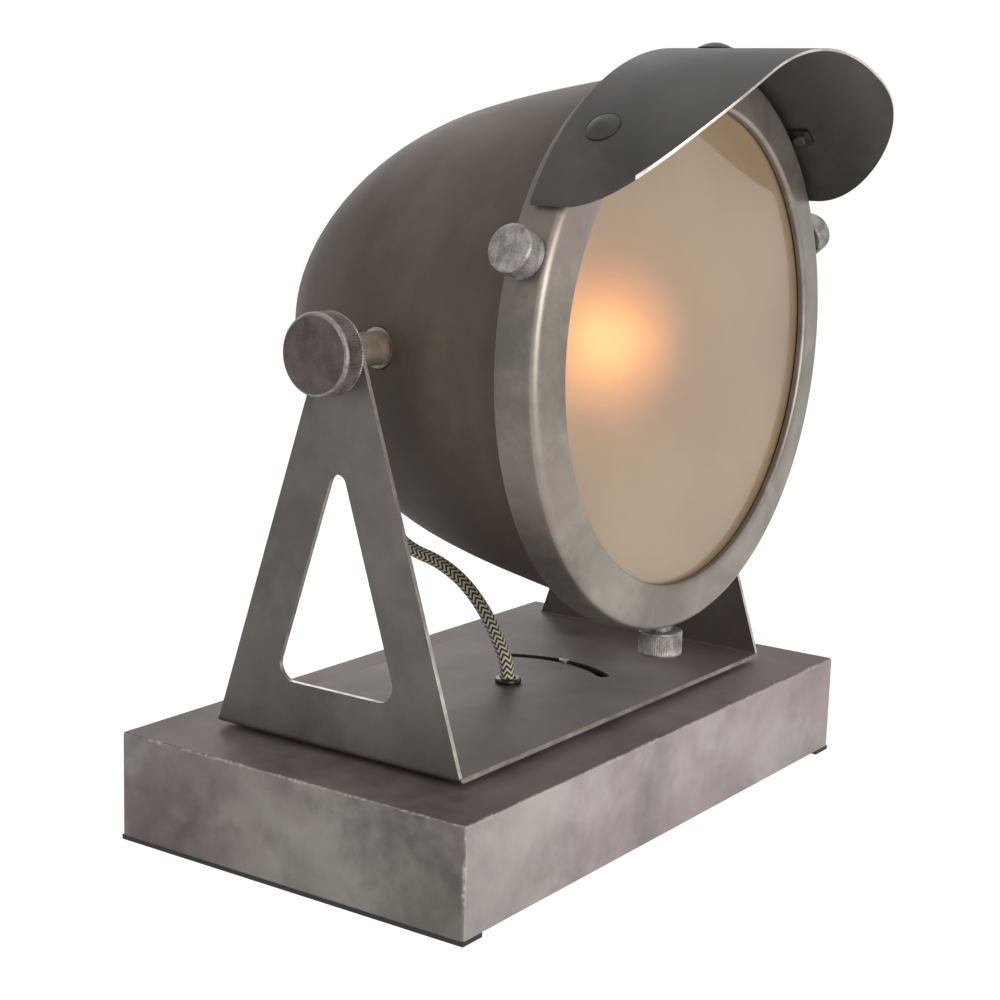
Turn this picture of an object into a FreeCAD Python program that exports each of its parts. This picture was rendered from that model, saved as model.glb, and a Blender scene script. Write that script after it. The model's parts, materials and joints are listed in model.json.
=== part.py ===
import FreeCAD, Part
import math
import os
import re
import Sketcher

# Tabletop searchlight lamp, millimetres, +Z up. The lamp faces -Y and the
# origin is on the table under the centre of the base block.

SIZES = {
    # base block
    "base_width": 300.0, "base_depth": 172.0, "base_height": 43.5, "base_wall": 3.0,
    "base_corner_round": 2.0, "base_edge_round": 1.2,
    "foot_height": 2.0, "foot_width": 12.0, "pad_radius": 12.0,
    "cover_thick": 2.5, "cover_gap": 0.3, "cover_screw_inset": 20.0,
    "post_radius": 6.0, "post_length": 16.0,
    "ballast_width": 180.0, "ballast_depth": 110.0, "ballast_thick": 12.0, "ballast_screw_pitch": 140.0,
    "screw_radius": 2.0, "screw_head_radius": 4.0, "screw_head_thick": 1.5, "screw_gap": 0.1,
    "screw_clear": 2.0,
    # swivel under the bracket
    "swivel_gap": 2.3, "washer_thick": 1.0, "washer_radius": 30.0, "flange_radius": 23.0,
    "pivot_radius": 8.0, "pivot_bore": 5.0, "pivot_length": 18.0, "running_gap": 0.06,
    "spring_thick": 1.3, "spring_radius": 13.0, "pivot_nut_radius": 14.0, "pivot_nut_thick": 6.0,
    "thread_gap": 0.05,
    "slot_radius": 45.5, "slot_width": 5.6, "slot_angle": 35.0,
    "guide_radius": 2.45, "guide_proud": 1.0, "guide_nut_radius": 5.0, "guide_nut_thick": 4.0,
    "guide_tail": 2.0, "guide_collar": 4.45, "guide_collar_thick": 1.5,
    "driver_slot": 0.8, "driver_depth": 0.6,
    "grommet_radius": 5.75, "grommet_height": 2.5, "grommet_stem": 8.0,
    # folded bracket
    "bracket_width": 240.0, "bracket_depth": 123.0, "sheet_thick": 2.0, "bend_radius": 2.6,
    "apex_radius": 9.7, "tilt_height": 205.0,
    "window_bottom": 72.0, "window_top": 158.0, "window_top_radius": 4.0, "window_corner": 7.0,
    # head housing, its distances forward and back of the tilt axis
    "head_wall": 1.5, "tail_length": 103.0,
    "cap_radius": 71.0, "side_radius": 160.0, "front_radius": 400.0,
    "cap_slope": 48.0, "side_slope": 15.0, "front_slope": 10.0,
    "taper_end": 66.5, "collar_start": 68.6, "collar_end": 81.0, "collar_radius": 112.9,
    "boss_radius": 11.0, "boss_face": 96.5, "boss_depth": 6.0,
    # tilt pivots
    "stud_radius": 4.0, "stud_reach": 131.5, "stud_inside": 84.0,
    "spacer_radius": 6.6, "pivot_washer_radius": 8.0, "pivot_washer_thick": 1.0,
    "inner_nut_radius": 7.5, "inner_nut_thick": 6.0,
    "knob_radius": 16.0, "knob_neck_radius": 9.0, "knob_thick": 11.0, "knob_face": 135.3,
    "knob_chamfer": 1.4, "knob_washer_thick": 1.3, "knob_bore_gap": 0.4,
    # bezel, lens and visor
    "ring_radius": 115.0, "ring_wall": 1.7, "ring_rear": 67.5, "ring_front": 85.4, "ring_crown": 86.8,
    "ring_round": 4.0, "lens_opening": 96.0, "lens_radius": 105.0, "lens_thick": 4.0,
    "gasket_thick": 1.0, "clip_width": 12.0, "clip_thick": 1.2, "clip_outer": 110.4, "clip_reach": 5.0,
    "visor_radius": 117.0, "visor_wall": 1.0, "visor_rear": 72.0, "visor_front": 138.0,
    "visor_half_angle": 60.5, "visor_corner": 52.0, "visor_spare": 0.3,
    "strap_gap": 0.1, "strap_width": 9.0, "strap_block": 60.0,
    "strap_front": 93.0, "rivet_place": 88.2, "rivet_angle": 43.0, "rivet_radius": 7.0,
    "rivet_dome": 2.4, "rivet_shank": 2.4, "rivet_tail": 2.6, "rivet_tail_thick": 1.6, "rivet_sink": 2.0,
    "rivet_seat": 0.05,
    # bezel thumbscrews
    "thumb_place": 76.0, "thumb_angle": 20.0, "thumb_radius": 10.5, "thumb_thick": 10.5,
    "thumb_outer": 128.3, "thumb_neck": 5.0, "thumb_shank": 2.4, "thumb_seat_gap": 0.4,
    "insert_half": 5.0, "insert_thick": 5.0, "insert_gap": 0.2, "thumb_tail": 1.0, "notch_gap": 0.6,
    # lampholder and bulb
    "plate_place": 52.0, "plate_thick": 1.5, "plate_gap": 0.2, "vent_radius": 7.0, "vent_circle": 47.0,
    "holder_radius": 20.0, "holder_front": 4.0, "holder_rear": 68.0, "holder_depth": 24.0,
    "holder_flange": 26.0, "holder_flange_thick": 2.0, "bulb_cap_radius": 13.2, "bulb_cap_length": 22.0,
    "bulb_cap_proud": 2.0, "bulb_radius": 30.0, "bulb_centre": 36.0, "bulb_shoulder": 18.0,
    # cord, its bushings and the cable inlet
    "cord_radius": 3.0, "cord_gap": 0.45, "lead_radius": 0.9,
    "bush_slope": 39.3, "bush_radius": 5.8, "bush_flange": 8.0, "bush_flange_thick": 2.0,
    "bush_bore": 4.6, "bush_seat": 0.7, "bush_lip": 1.5,
    "inlet_height": 22.0, "inlet_radius": 6.0, "inlet_flange": 9.0, "inlet_flange_thick": 2.5,
    "inlet_length": 14.0, "inlet_bore": 3.3, "inlet_nut_radius": 10.0, "inlet_nut_thick": 4.0,
    "block_length": 40.0, "block_width": 18.0, "block_height": 12.0, "block_place": -60.0,
    "terminal_pitch": 5.3, "well_radius": 1.9, "well_depth": 4.0, "well_screw_radius": 1.8,
    "well_screw_length": 2.5,
    # how far a drill or a cutting sketch runs past what it cuts
    "over": 3.0,
}

doc = FreeCAD.newDocument("searchlight_lamp")
sheet = doc.addObject("Spreadsheet::Sheet", "Sizes")
for row, (alias, value) in enumerate(SIZES.items(), start=1):
    sheet.set("A%d" % row, alias)
    sheet.set("B%d" % row, "%g" % value)
    sheet.setAlias("B%d" % row, alias)
doc.recompute()

NODES = []

# cosine above which an edge counts as lying along an axis
STRAIGHT = 0.99
# least volume in cubic millimetres that a cut has to take away
LEAST_CUT = 1


def link(text):
    """An expression on the sheet's aliases, written for setExpression."""
    def name(found):
        word = found.group(0)
        return "Sizes." + word if word in SIZES else word
    return re.sub(r"[a-z_]+", name, text)


def num(text):
    """The value of an expression on the sheet's aliases."""
    value = sheet.evalExpression(link(text))
    return float(getattr(value, "Value", value))


# heights and depths that several sub-parts share
BASE_TOP = "(foot_height + base_height)"
COVER_TOP = "(foot_height + cover_thick)"
BALLAST_TOP = "(foot_height + cover_thick + ballast_thick)"
SHELL_ROOF = "(foot_height + base_height - base_wall)"
PLATE_BOTTOM = "(foot_height + base_height + swivel_gap)"
PLATE_TOP = "(foot_height + base_height + swivel_gap + sheet_thick)"
UPRIGHT_INSIDE = "(bracket_width / 2 - sheet_thick)"
COLLAR_INSIDE = "(collar_radius - head_wall)"
RING_INSIDE = "(ring_radius - ring_wall)"
FACE_INSIDE = "(ring_front - ring_wall)"
LENS_FRONT = "(ring_front - ring_wall - gasket_thick)"
LENS_REAR = "(ring_front - ring_wall - gasket_thick - lens_thick)"


def node(item, label):
    """Make an object a sub-part under its own name."""
    item.Label = label
    NODES.append(item)
    return item


def place(item, x="0", y="0", z="0", axis=None, angle="0"):
    """Bind an object's placement to the sheet."""
    if axis:
        turn = FreeCAD.Rotation(FreeCAD.Vector(*axis), num(angle))
        item.Placement = FreeCAD.Placement(FreeCAD.Vector(), turn)
        item.setExpression("Placement.Rotation.Angle", link(angle))
        if num(angle) < 0:
            raise ValueError("a placement's angle is given from 0 up")
    item.setExpression("Placement.Base.x", link(x))
    item.setExpression("Placement.Base.y", link(y))
    item.setExpression("Placement.Base.z", link(z))
    return item


UP = None
ALONG_X = ((0, 1, 0), "90")
ALONG_Y = ((1, 0, 0), "90")


def cylinder(radius, height, x="0", y="0", z="0", turn=UP):
    """A cylinder from its foot; ALONG_Y runs it to the lamp's front."""
    item = doc.addObject("Part::Cylinder", "cylinder")
    item.setExpression("Radius", link(radius))
    item.setExpression("Height", link(height))
    return place(item, x, y, z, *(turn or (None, "0")))


def box(length, width, height, x="0", y="0", z="0"):
    """A box centred on x and y, standing on z."""
    item = doc.addObject("Part::Box", "box")
    item.setExpression("Length", link(length))
    item.setExpression("Width", link(width))
    item.setExpression("Height", link(height))
    return place(item, "(%s) - (%s) / 2" % (x, length), "(%s) - (%s) / 2" % (y, width), z)


def hexagon(radius, height, x="0", y="0", z="0", turn=UP):
    """A six-sided nut blank, its radius measured to the corners."""
    item = doc.addObject("Part::Prism", "prism")
    item.Polygon = 6
    item.setExpression("Circumradius", link(radius))
    item.setExpression("Height", link(height))
    return place(item, x, y, z, *(turn or (None, "0")))


def sphere(radius, x="0", y="0", z="0"):
    """A whole ball."""
    item = doc.addObject("Part::Sphere", "sphere")
    item.setExpression("Radius", link(radius))
    return place(item, x, y, z)


def cut(base, *tools):
    """Take every tool away from the base."""
    for tool in tools:
        item = doc.addObject("Part::Cut", "cut")
        item.Base = base
        item.Tool = tool
        base = item
    return base


def fuse(*items):
    """Join solids into one."""
    item = doc.addObject("Part::MultiFuse", "fuse")
    item.Shapes = list(items)
    item.Refine = True
    return item


def common(first, second):
    """What two solids share."""
    item = doc.addObject("Part::Common", "common")
    item.Base = first
    item.Tool = second
    return item


def group(*items):
    """Separate solids that share one node."""
    item = doc.addObject("Part::Compound", "group")
    item.Links = list(items)
    return item


def tube(outer, inner, height, x="0", y="0", z="0", turn=UP):
    """A round tube or washer, its bore cut right through."""
    return cut(cylinder(outer, height, x, y, z, turn), cylinder(inner, height, x, y, z, turn))


# helpers for bodies made from sketches

def body(label=None):
    """A new sketched body, a sub-part of its own where it is given a name."""
    item = doc.addObject("PartDesign::Body", "Body")
    return node(item, label) if label else item


def sketch(owner, plane, shift="0"):
    """A sketch on one of the body's own origin planes, moved along its normal."""
    item = owner.newObject("Sketcher::SketchObject", "Sketch")
    for feature in owner.Origin.OriginFeatures:
        if feature.Role == plane:
            item.AttachmentSupport = [(feature, "")]
    item.MapMode = "FlatFace"
    item.setExpression("AttachmentOffset.Base.z", link(shift))
    return item


def bind(item, name, kind, parts, text):
    """Add a driving constraint whose value comes from the sheet."""
    index = item.addConstraint(Sketcher.Constraint(kind, *parts, num(text)))
    item.renameConstraint(index, name)
    item.setExpression("Constraints." + name, link(text))


def circle(item, radius, x="0", y="0"):
    """A full circle in a sketch."""
    centre = FreeCAD.Vector(num(x), num(y), 0)
    index = item.addGeometry(Part.Circle(centre, FreeCAD.Vector(0, 0, 1), num(radius)))
    bind(item, "cx%d" % index, "DistanceX", (-1, 1, index, 3), x)
    bind(item, "cy%d" % index, "DistanceY", (-1, 1, index, 3), y)
    bind(item, "cr%d" % index, "Radius", (index,), radius)


def outline(item, points):
    """A closed outline of (x, y) corners. A corner may add a third value, the radius of
    the arc to the next corner, with "-" in front where the arc turns clockwise."""
    spots = [FreeCAD.Vector(num(point[0]), num(point[1]), 0) for point in points]
    ends = []
    for count, point in enumerate(points):
        start = spots[count]
        stop = spots[(count + 1) % len(points)]
        if len(point) == 2:
            index = item.addGeometry(Part.LineSegment(start, stop))
            ends.append((index, 1, 2))
            continue
        clockwise = point[2].startswith("-")
        radius = num(point[2].lstrip("-"))
        if clockwise:
            start, stop = stop, start
        half = (stop - start).Length / 2
        side = FreeCAD.Vector(start.y - stop.y, stop.x - start.x, 0)
        side.normalize()
        centre = (start + stop) / 2 + side * math.sqrt(max(radius * radius - half * half, 0))
        first = math.atan2(start.y - centre.y, start.x - centre.x)
        last = math.atan2(stop.y - centre.y, stop.x - centre.x)
        full = Part.Circle(centre, FreeCAD.Vector(0, 0, 1), radius)
        index = item.addGeometry(Part.ArcOfCircle(full, first, last))
        ends.append((index, 2, 1) if clockwise else (index, 1, 2))
        bind(item, "r%d" % index, "Radius", (index,), point[2].lstrip("-"))
    for count, (index, head, tail) in enumerate(ends):
        other, other_head, _ = ends[(count + 1) % len(ends)]
        item.addConstraint(Sketcher.Constraint("Coincident", index, tail, other, other_head))
        bind(item, "x%d" % index, "DistanceX", (-1, 1, index, head), points[count][0])
        bind(item, "y%d" % index, "DistanceY", (-1, 1, index, head), points[count][1])


def rectangle(item, low_x, low_y, high_x, high_y):
    """A rectangle between two corners."""
    outline(item, [(low_x, low_y), (high_x, low_y), (high_x, high_y), (low_x, high_y)])


def feature(owner, kind, profile, **settings):
    """A PartDesign feature on a sketch; text values are bound to the sheet."""
    item = owner.newObject("PartDesign::" + kind, kind)
    item.Profile = profile
    for key, value in settings.items():
        if isinstance(value, str) and key in ("Length", "Length2", "Angle"):
            item.setExpression(key, link(value))
        else:
            setattr(item, key, value)
    profile.Visibility = False
    doc.recompute()
    return item


def revolve(owner, profile, axis):
    """Spin a sketch a full turn about its own H_Axis or V_Axis."""
    return feature(owner, "Revolution", profile, ReferenceAxis=(profile, [axis]))


def edges(shape, test):
    """Names of the edges whose middle point and direction pass a test."""
    names = []
    for count, edge in enumerate(shape.Edges, start=1):
        middle = edge.valueAt((edge.FirstParameter + edge.LastParameter) / 2)
        across = edge.tangentAt((edge.FirstParameter + edge.LastParameter) / 2)
        if test(middle, across):
            names.append("Edge%d" % count)
    return names


def fillet(owner, base, test, radius):
    """Round the chosen edges of a body's last feature."""
    item = owner.newObject("PartDesign::Fillet", "Fillet")
    item.Base = (base, edges(base.Shape, test))
    item.setExpression("Radius", link(radius))
    doc.recompute()
    return item


def near(value, text):
    """Whether a coordinate equals an expression."""
    return abs(value - num(text)) < 0.01


# base block

def base_shell():
    """Metal-clad block, open below, with four screw posts."""
    owner = body("base_shell")
    block = sketch(owner, "XY_Plane", "foot_height")
    half_width = "base_width / 2"
    half_depth = "base_depth / 2"
    rectangle(block, "-" + half_width, "-" + half_depth, half_width, half_depth)
    pad = feature(owner, "Pad", block, Length="base_height")
    corners = fillet(owner, pad, lambda p, d: abs(d.z) > STRAIGHT, "base_corner_round")
    rim = fillet(owner, corners, lambda p, d: near(p.z, BASE_TOP), "base_edge_round")
    hollow = sketch(owner, "XY_Plane", "foot_height")
    wall_x = "(base_width / 2 - base_wall)"
    wall_y = "(base_depth / 2 - base_wall)"
    rectangle(hollow, "-" + wall_x, "-" + wall_y, wall_x, wall_y)
    before = rim.Shape.Volume
    pocket = feature(owner, "Pocket", hollow, Length="base_height - base_wall", Reversed=True)
    assert pocket.Shape.Volume < before / 2
    posts = sketch(owner, "XY_Plane", SHELL_ROOF)
    post_x = "(base_width / 2 - cover_screw_inset)"
    post_y = "(base_depth / 2 - cover_screw_inset)"
    for side_x in ("-", ""):
        for side_y in ("-", ""):
            circle(posts, "post_radius", side_x + post_x, side_y + post_y)
    feature(owner, "Pad", posts, Length=SHELL_ROOF + " - " + COVER_TOP, Reversed=True)
    threads = sketch(owner, "XY_Plane", COVER_TOP)
    for side_x in ("-", ""):
        for side_y in ("-", ""):
            circle(threads, "screw_radius + screw_gap", side_x + post_x, side_y + post_y)
    feature(owner, "Pocket", threads, Length="post_length", Reversed=True)
    top = sketch(owner, "XY_Plane", BASE_TOP)
    circle(top, "pivot_radius + running_gap")
    circle(top, "guide_radius + thread_gap", "slot_radius", "0")
    feature(owner, "Pocket", top, Length="base_wall + over")
    rear = sketch(owner, "XZ_Plane", "-base_depth / 2")
    circle(rear, "inlet_radius + thread_gap", "0", "inlet_height")
    before = owner.Shape.Volume
    hole = feature(owner, "Pocket", rear, Length="base_wall + over", Reversed=False)
    if hole.Shape.Volume > before - LEAST_CUT:
        hole.Reversed = True
    doc.recompute()
    assert owner.Shape.Volume < before - LEAST_CUT


def base_cover():
    """Bottom plate that closes the block, with clearance holes for its screws."""
    owner = body("base_cover")
    plate = sketch(owner, "XY_Plane", "foot_height")
    half_x = "(base_width / 2 - base_wall - cover_gap)"
    half_y = "(base_depth / 2 - base_wall - cover_gap)"
    rectangle(plate, "-" + half_x, "-" + half_y, half_x, half_y)
    for x, y in screw_places():
        circle(plate, "screw_radius + screw_gap", x, y)
    feature(owner, "Pad", plate, Length="cover_thick")


def screw_places():
    """Centres of the six screws in the bottom plate, the last two into the ballast."""
    corner_x = "(base_width / 2 - cover_screw_inset)"
    corner_y = "(base_depth / 2 - cover_screw_inset)"
    corners = [(side_x + corner_x, side_y + corner_y) for side_x in ("-", "") for side_y in ("-", "")]
    return corners + [("-ballast_screw_pitch / 2", "0"), ("ballast_screw_pitch / 2", "0")]


def cover_screws():
    """Six pan-head screws, heads under the plate and clear of the table."""
    screws = []
    reaches = ["post_length"] * 4 + ["ballast_thick"] * 2
    for (x, y), reach in zip(screw_places(), reaches):
        head = cylinder("screw_head_radius", "screw_head_thick", x, y, "foot_height - screw_head_thick")
        shank = cylinder("screw_radius", "cover_thick + %s - screw_clear" % reach, x, y, "foot_height")
        screws.append(fuse(head, shank))
    node(group(*screws), "cover_screws")


def feet():
    """Rubber strips under the block's two ends and a round pad under its middle."""
    strip_x = "(base_width / 2 - foot_width / 2)"
    left = box("foot_width", "base_depth", "foot_height", "-" + strip_x)
    right = box("foot_width", "base_depth", "foot_height", strip_x)
    node(group(left, right, cylinder("pad_radius", "foot_height")), "foot_strips")


def ballast():
    """Iron slab on the bottom plate, with its two screw holes."""
    slab = box("ballast_width", "ballast_depth", "ballast_thick", z=COVER_TOP)
    hole = "screw_radius + screw_gap"
    left = cylinder(hole, "ballast_thick", "-ballast_screw_pitch / 2", "0", COVER_TOP)
    right = cylinder(hole, "ballast_thick", "ballast_screw_pitch / 2", "0", COVER_TOP)
    node(cut(slab, left, right), "ballast_plate")


def guide_pin():
    """Screw that runs in the bracket's slot and stops the pan, and its nut under the block's roof."""
    under = SHELL_ROOF + " - guide_nut_thick"
    foot = "(%s - guide_tail)" % under
    shaft = cylinder("guide_radius", "%s + guide_proud - %s" % (PLATE_TOP, foot), "slot_radius", z=foot)
    collar = cylinder("guide_collar", "guide_collar_thick", "slot_radius", z=BASE_TOP)
    slot = box("guide_radius * 2", "driver_slot", "over", "slot_radius", "0",
               PLATE_TOP + " + guide_proud - driver_depth")
    node(cut(fuse(shaft, collar), slot), "guide_screw")
    blank = hexagon("guide_nut_radius", "guide_nut_thick", "slot_radius", "0", under)
    bore = cylinder("guide_radius + thread_gap", "guide_nut_thick", "slot_radius", "0", under)
    node(cut(blank, bore), "guide_nut")


def cable_inlet():
    """Flanged sleeve through the block's rear wall for a mains lead, and its nut inside."""
    back = "base_depth / 2"
    face = back + " + inlet_flange_thick"
    flange = cylinder("inlet_flange", "inlet_flange_thick", "0", face, "inlet_height", ALONG_Y)
    sleeve = cylinder("inlet_radius", "inlet_length", "0", back, "inlet_height", ALONG_Y)
    bore = cylinder("inlet_bore", "inlet_length + inlet_flange_thick", "0", face, "inlet_height", ALONG_Y)
    node(cut(fuse(flange, sleeve), bore), "cable_inlet")
    inside = "base_depth / 2 - base_wall"
    blank = hexagon("inlet_nut_radius", "inlet_nut_thick", "0", inside, "inlet_height", ALONG_Y)
    thread = cylinder("inlet_radius + thread_gap", "inlet_nut_thick", "0", inside, "inlet_height", ALONG_Y)
    node(cut(blank, thread), "inlet_nut")


def terminals():
    """Terminal block on the ballast, with six screws in their wells."""
    block = box("block_length", "block_width", "block_height", "block_place", "0", BALLAST_TOP)
    floor = BALLAST_TOP + " + block_height - well_depth"
    wells = []
    screws = []
    for row in (-1, 0, 1):
        y = "terminal_pitch * %d" % row
        for side in ("- block_length / 4", "+ block_length / 4"):
            x = "block_place " + side
            wells.append(cylinder("well_radius", "well_depth", x, y, floor))
            screws.append(cylinder("well_screw_radius", "well_screw_length", x, y, floor))
    node(cut(block, *wells), "terminal_block")
    node(group(*screws), "terminal_screws")


# bracket and swivel

def edge_slope():
    """Angle from upright of the bracket's slanted edges, tangent to its round top."""
    rise = "(tilt_height - %s)" % PLATE_BOTTOM
    reach = "(bracket_depth / 2)"
    return "(acos(apex_radius / sqrt({0}^2 + {1}^2)) - atan({1} / {0}))".format(reach, rise)


def upright_outline(item):
    """One upright seen from the side: slanted edges, a round top, a window and the pivot hole."""
    slope = edge_slope()
    half = "bracket_depth / 2"
    top_y = "(apex_radius * cos(%s))" % slope
    top_z = "(tilt_height + apex_radius * sin(%s))" % slope
    outline(item, [("-" + half, PLATE_BOTTOM), (half, PLATE_BOTTOM), (top_y, top_z, "apex_radius"),
                   ("-" + top_y, top_z)])
    circle(item, "stud_radius + running_gap", "0", "tilt_height")
    centre = "(window_top - window_top_radius)"
    tip_y = "(window_top_radius * cos(%s))" % slope
    tip_z = "(%s + window_top_radius * sin(%s))" % (centre, slope)
    foot_y = "((%s - window_bottom) * tan(%s) + window_top_radius / cos(%s))" % (centre, slope, slope)
    outline(item, [("-" + foot_y, "window_bottom"), (foot_y, "window_bottom"),
                   (tip_y, tip_z, "window_top_radius"), ("-" + tip_y, tip_z)])


def bracket():
    """One sheet folded into a floor and two uprights."""
    owner = body("bracket")
    floor = sketch(owner, "XY_Plane", PLATE_BOTTOM)
    half_x = "bracket_width / 2"
    half_y = "bracket_depth / 2"
    rectangle(floor, "-" + half_x, "-" + half_y, half_x, half_y)
    circle(floor, "pivot_bore")
    feature(owner, "Pad", floor, Length="sheet_thick")
    for shift in ("-bracket_width / 2", "bracket_width / 2 - sheet_thick"):
        side = sketch(owner, "YZ_Plane", shift)
        upright_outline(side)
        wall = feature(owner, "Pad", side, Length="sheet_thick")
    bend = fillet(owner, wall, lambda p, d: abs(d.y) > STRAIGHT and near(p.z, PLATE_BOTTOM)
                  and near(abs(p.x), "bracket_width / 2"), "bend_radius")
    inner = fillet(owner, bend, lambda p, d: abs(d.y) > STRAIGHT and near(p.z, PLATE_TOP)
                   and near(abs(p.x), UPRIGHT_INSIDE), "bend_radius - sheet_thick")
    fillet(owner, inner, lambda p, d: abs(d.x) > STRAIGHT and near(p.z, "window_bottom"), "window_corner")
    slot = sketch(owner, "XZ_Plane")
    near_side = "slot_radius - slot_width / 2"
    far_side = "slot_radius + slot_width / 2"
    rectangle(slot, near_side, PLATE_BOTTOM + " - over", far_side, PLATE_TOP + " + over")
    before = owner.Shape.Volume
    feature(owner, "Groove", slot, ReferenceAxis=(slot, ["V_Axis"]), Angle="slot_angle * 2",
            Midplane=True)
    ends = sketch(owner, "XY_Plane", PLATE_TOP)
    for sign in ("-", ""):
        end_y = sign + "slot_radius * sin(slot_angle)"
        circle(ends, "slot_width / 2", "slot_radius * cos(slot_angle)", end_y)
    feature(owner, "Pocket", ends, Length="sheet_thick + over")
    assert owner.Shape.Volume < before - LEAST_CUT


def swivel_parts():
    """Hollow pivot under the bracket, its washers, its nut and the cord's bushing."""
    flange_bottom = BASE_TOP + " + washer_thick"
    low = SHELL_ROOF + " - (pivot_length - base_wall)"
    shank = cylinder("pivot_radius", PLATE_BOTTOM + " - (" + low + ")", z=low)
    flange = cylinder("flange_radius", "swivel_gap - washer_thick", z=flange_bottom)
    bore = cylinder("pivot_bore", PLATE_BOTTOM + " - (" + low + ")", z=low)
    node(cut(fuse(shank, flange), bore), "pivot_tube")
    loose = "pivot_radius + thread_gap * 4"
    node(tube("washer_radius", loose, "washer_thick", z=BASE_TOP), "friction_washer")
    node(tube("spring_radius", loose, "spring_thick", z=SHELL_ROOF + " - spring_thick"), "spring_washer")
    nut_low = SHELL_ROOF + " - spring_thick - pivot_nut_thick"
    node(cut(hexagon("pivot_nut_radius", "pivot_nut_thick", z=nut_low),
             cylinder("pivot_radius + thread_gap", "pivot_nut_thick", z=nut_low)), "pivot_nut")
    stem = cylinder("pivot_bore - thread_gap", "grommet_stem", z=PLATE_TOP + " - grommet_stem")
    head = cylinder("grommet_radius", "grommet_height", z=PLATE_TOP)
    hole = cylinder("cord_radius + cord_gap", "grommet_stem + grommet_height",
                    z=PLATE_TOP + " - grommet_stem")
    node(cut(fuse(head, stem), hole), "cord_grommet")


# head, drawn about its own axis and lifted to the tilt axis

TILT = "tilt_height"
SIDE_BACK = "(tail_length - cap_radius + (cap_radius - side_radius) * sin(cap_slope))"
SIDE_OUT = "((cap_radius - side_radius) * cos(cap_slope))"
FRONT_BACK = "(%s + (side_radius - front_radius) * sin(side_slope))" % SIDE_BACK
FRONT_OUT = "(%s + (side_radius - front_radius) * cos(side_slope))" % SIDE_OUT

# turn about the lamp's axis that carries a piece from the top to its place
THUMB_TURNS = {
    "left": ((0, -1, 0), "90 - thumb_angle"),
    "right": ((0, 1, 0), "90 - thumb_angle"),
    "bottom": ((0, 1, 0), "180"),
}
RIVET_TURNS = [((0, 1, 0), "0"), ((0, 1, 0), "rivet_angle"), ((0, -1, 0), "rivet_angle")]
CLIP_TURNS = [((0, 1, 0), "45"), ((0, 1, 0), "135"), ((0, -1, 0), "45"), ((0, -1, 0), "135")]


def around(turn, *items):
    """Pieces drawn at the top of the head, carried round its axis and up to it."""
    return place(group(*items), "0", "0", TILT, *turn)


def along(radius, start, stop, height=TILT):
    """A cylinder on the lamp's axis between two distances forward of the tilt axis."""
    return cylinder(radius, "(%s) - (%s)" % (stop, start), "0", "-(%s)" % start, height, ALONG_Y)


def housing_line(wall):
    """The spun shell's curve at a depth under its skin, as (back, outward) points: three arcs
    that share their tangents, then a straight taper up to the collar."""
    cap = ("(tail_length - cap_radius + (cap_radius - %s) * sin(cap_slope))" % wall,
           "((cap_radius - %s) * cos(cap_slope))" % wall)
    side = ("(%s + (side_radius - %s) * sin(side_slope))" % (SIDE_BACK, wall),
            "(%s + (side_radius - %s) * cos(side_slope))" % (SIDE_OUT, wall))
    front = ("(%s + (front_radius - %s) * sin(front_slope))" % (FRONT_BACK, wall),
             "(%s + (front_radius - %s) * cos(front_slope))" % (FRONT_OUT, wall))
    taper = ("-taper_end", "(%s + (%s + taper_end) * tan(front_slope))" % (front[1], front[0]))
    return cap, side, front, taper


def on_dome(radius, start, height):
    """A cylinder square to the dome's underside at the cord's bushing, from a height above its skin."""
    back = "(%s + (side_radius + %s) * sin(bush_slope))" % (SIDE_BACK, start)
    down = "(tilt_height - %s - (side_radius + %s) * cos(bush_slope))" % (SIDE_OUT, start)
    return cylinder(radius, height, "0", back, down, ((-1, 0, 0), "180 - bush_slope"))


def housing():
    """Spun dome with its collar, pivot bosses and the holes through its wall."""
    owner = body()
    profile = sketch(owner, "YZ_Plane")
    cap, side, front, taper = housing_line("0")
    in_cap, in_side, in_front, in_taper = housing_line("head_wall")
    outline(profile, [
        ("tail_length", "0", "cap_radius"), cap + ("side_radius",), side + ("front_radius",),
        front, taper, ("-collar_start", "collar_radius"),
        ("-collar_end", "collar_radius"), ("-collar_end", COLLAR_INSIDE),
        ("-collar_start - head_wall / 2", COLLAR_INSIDE), in_taper,
        in_front + ("-front_radius - head_wall",), in_side + ("-side_radius - head_wall",),
        in_cap + ("-cap_radius - head_wall",), ("tail_length - head_wall", "0")])
    revolve(owner, profile, "H_Axis")
    for shift, inward in (("boss_face", True), ("-boss_face", False)):
        boss = sketch(owner, "YZ_Plane", shift)
        circle(boss, "boss_radius")
        feature(owner, "Pad", boss, Length="boss_depth", Reversed=inward)
    for shift, outward in (("boss_face", True), ("-boss_face", False)):
        flat = sketch(owner, "YZ_Plane", shift)
        circle(flat, "boss_radius")
        feature(owner, "Pocket", flat, Length="boss_depth", Reversed=outward)
    before = owner.Shape.Volume
    pivots = sketch(owner, "YZ_Plane", "-boss_face - over")
    circle(pivots, "stud_radius + thread_gap")
    feature(owner, "Pocket", pivots, Length="(boss_face + over) * 2", Reversed=True)
    assert owner.Shape.Volume < before - LEAST_CUT
    place(owner, z=TILT)
    drill = cylinder("thumb_shank + thread_gap", "head_wall + over * 2", "0", "-thumb_place",
                     COLLAR_INSIDE + " - over")
    holes = [around(turn, drill) for turn in THUMB_TURNS.values()]
    bush_hole = on_dome("bush_radius + thread_gap", "(-head_wall - over)", "head_wall + over * 2")
    node(cut(owner, *holes, bush_hole), "housing")


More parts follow.
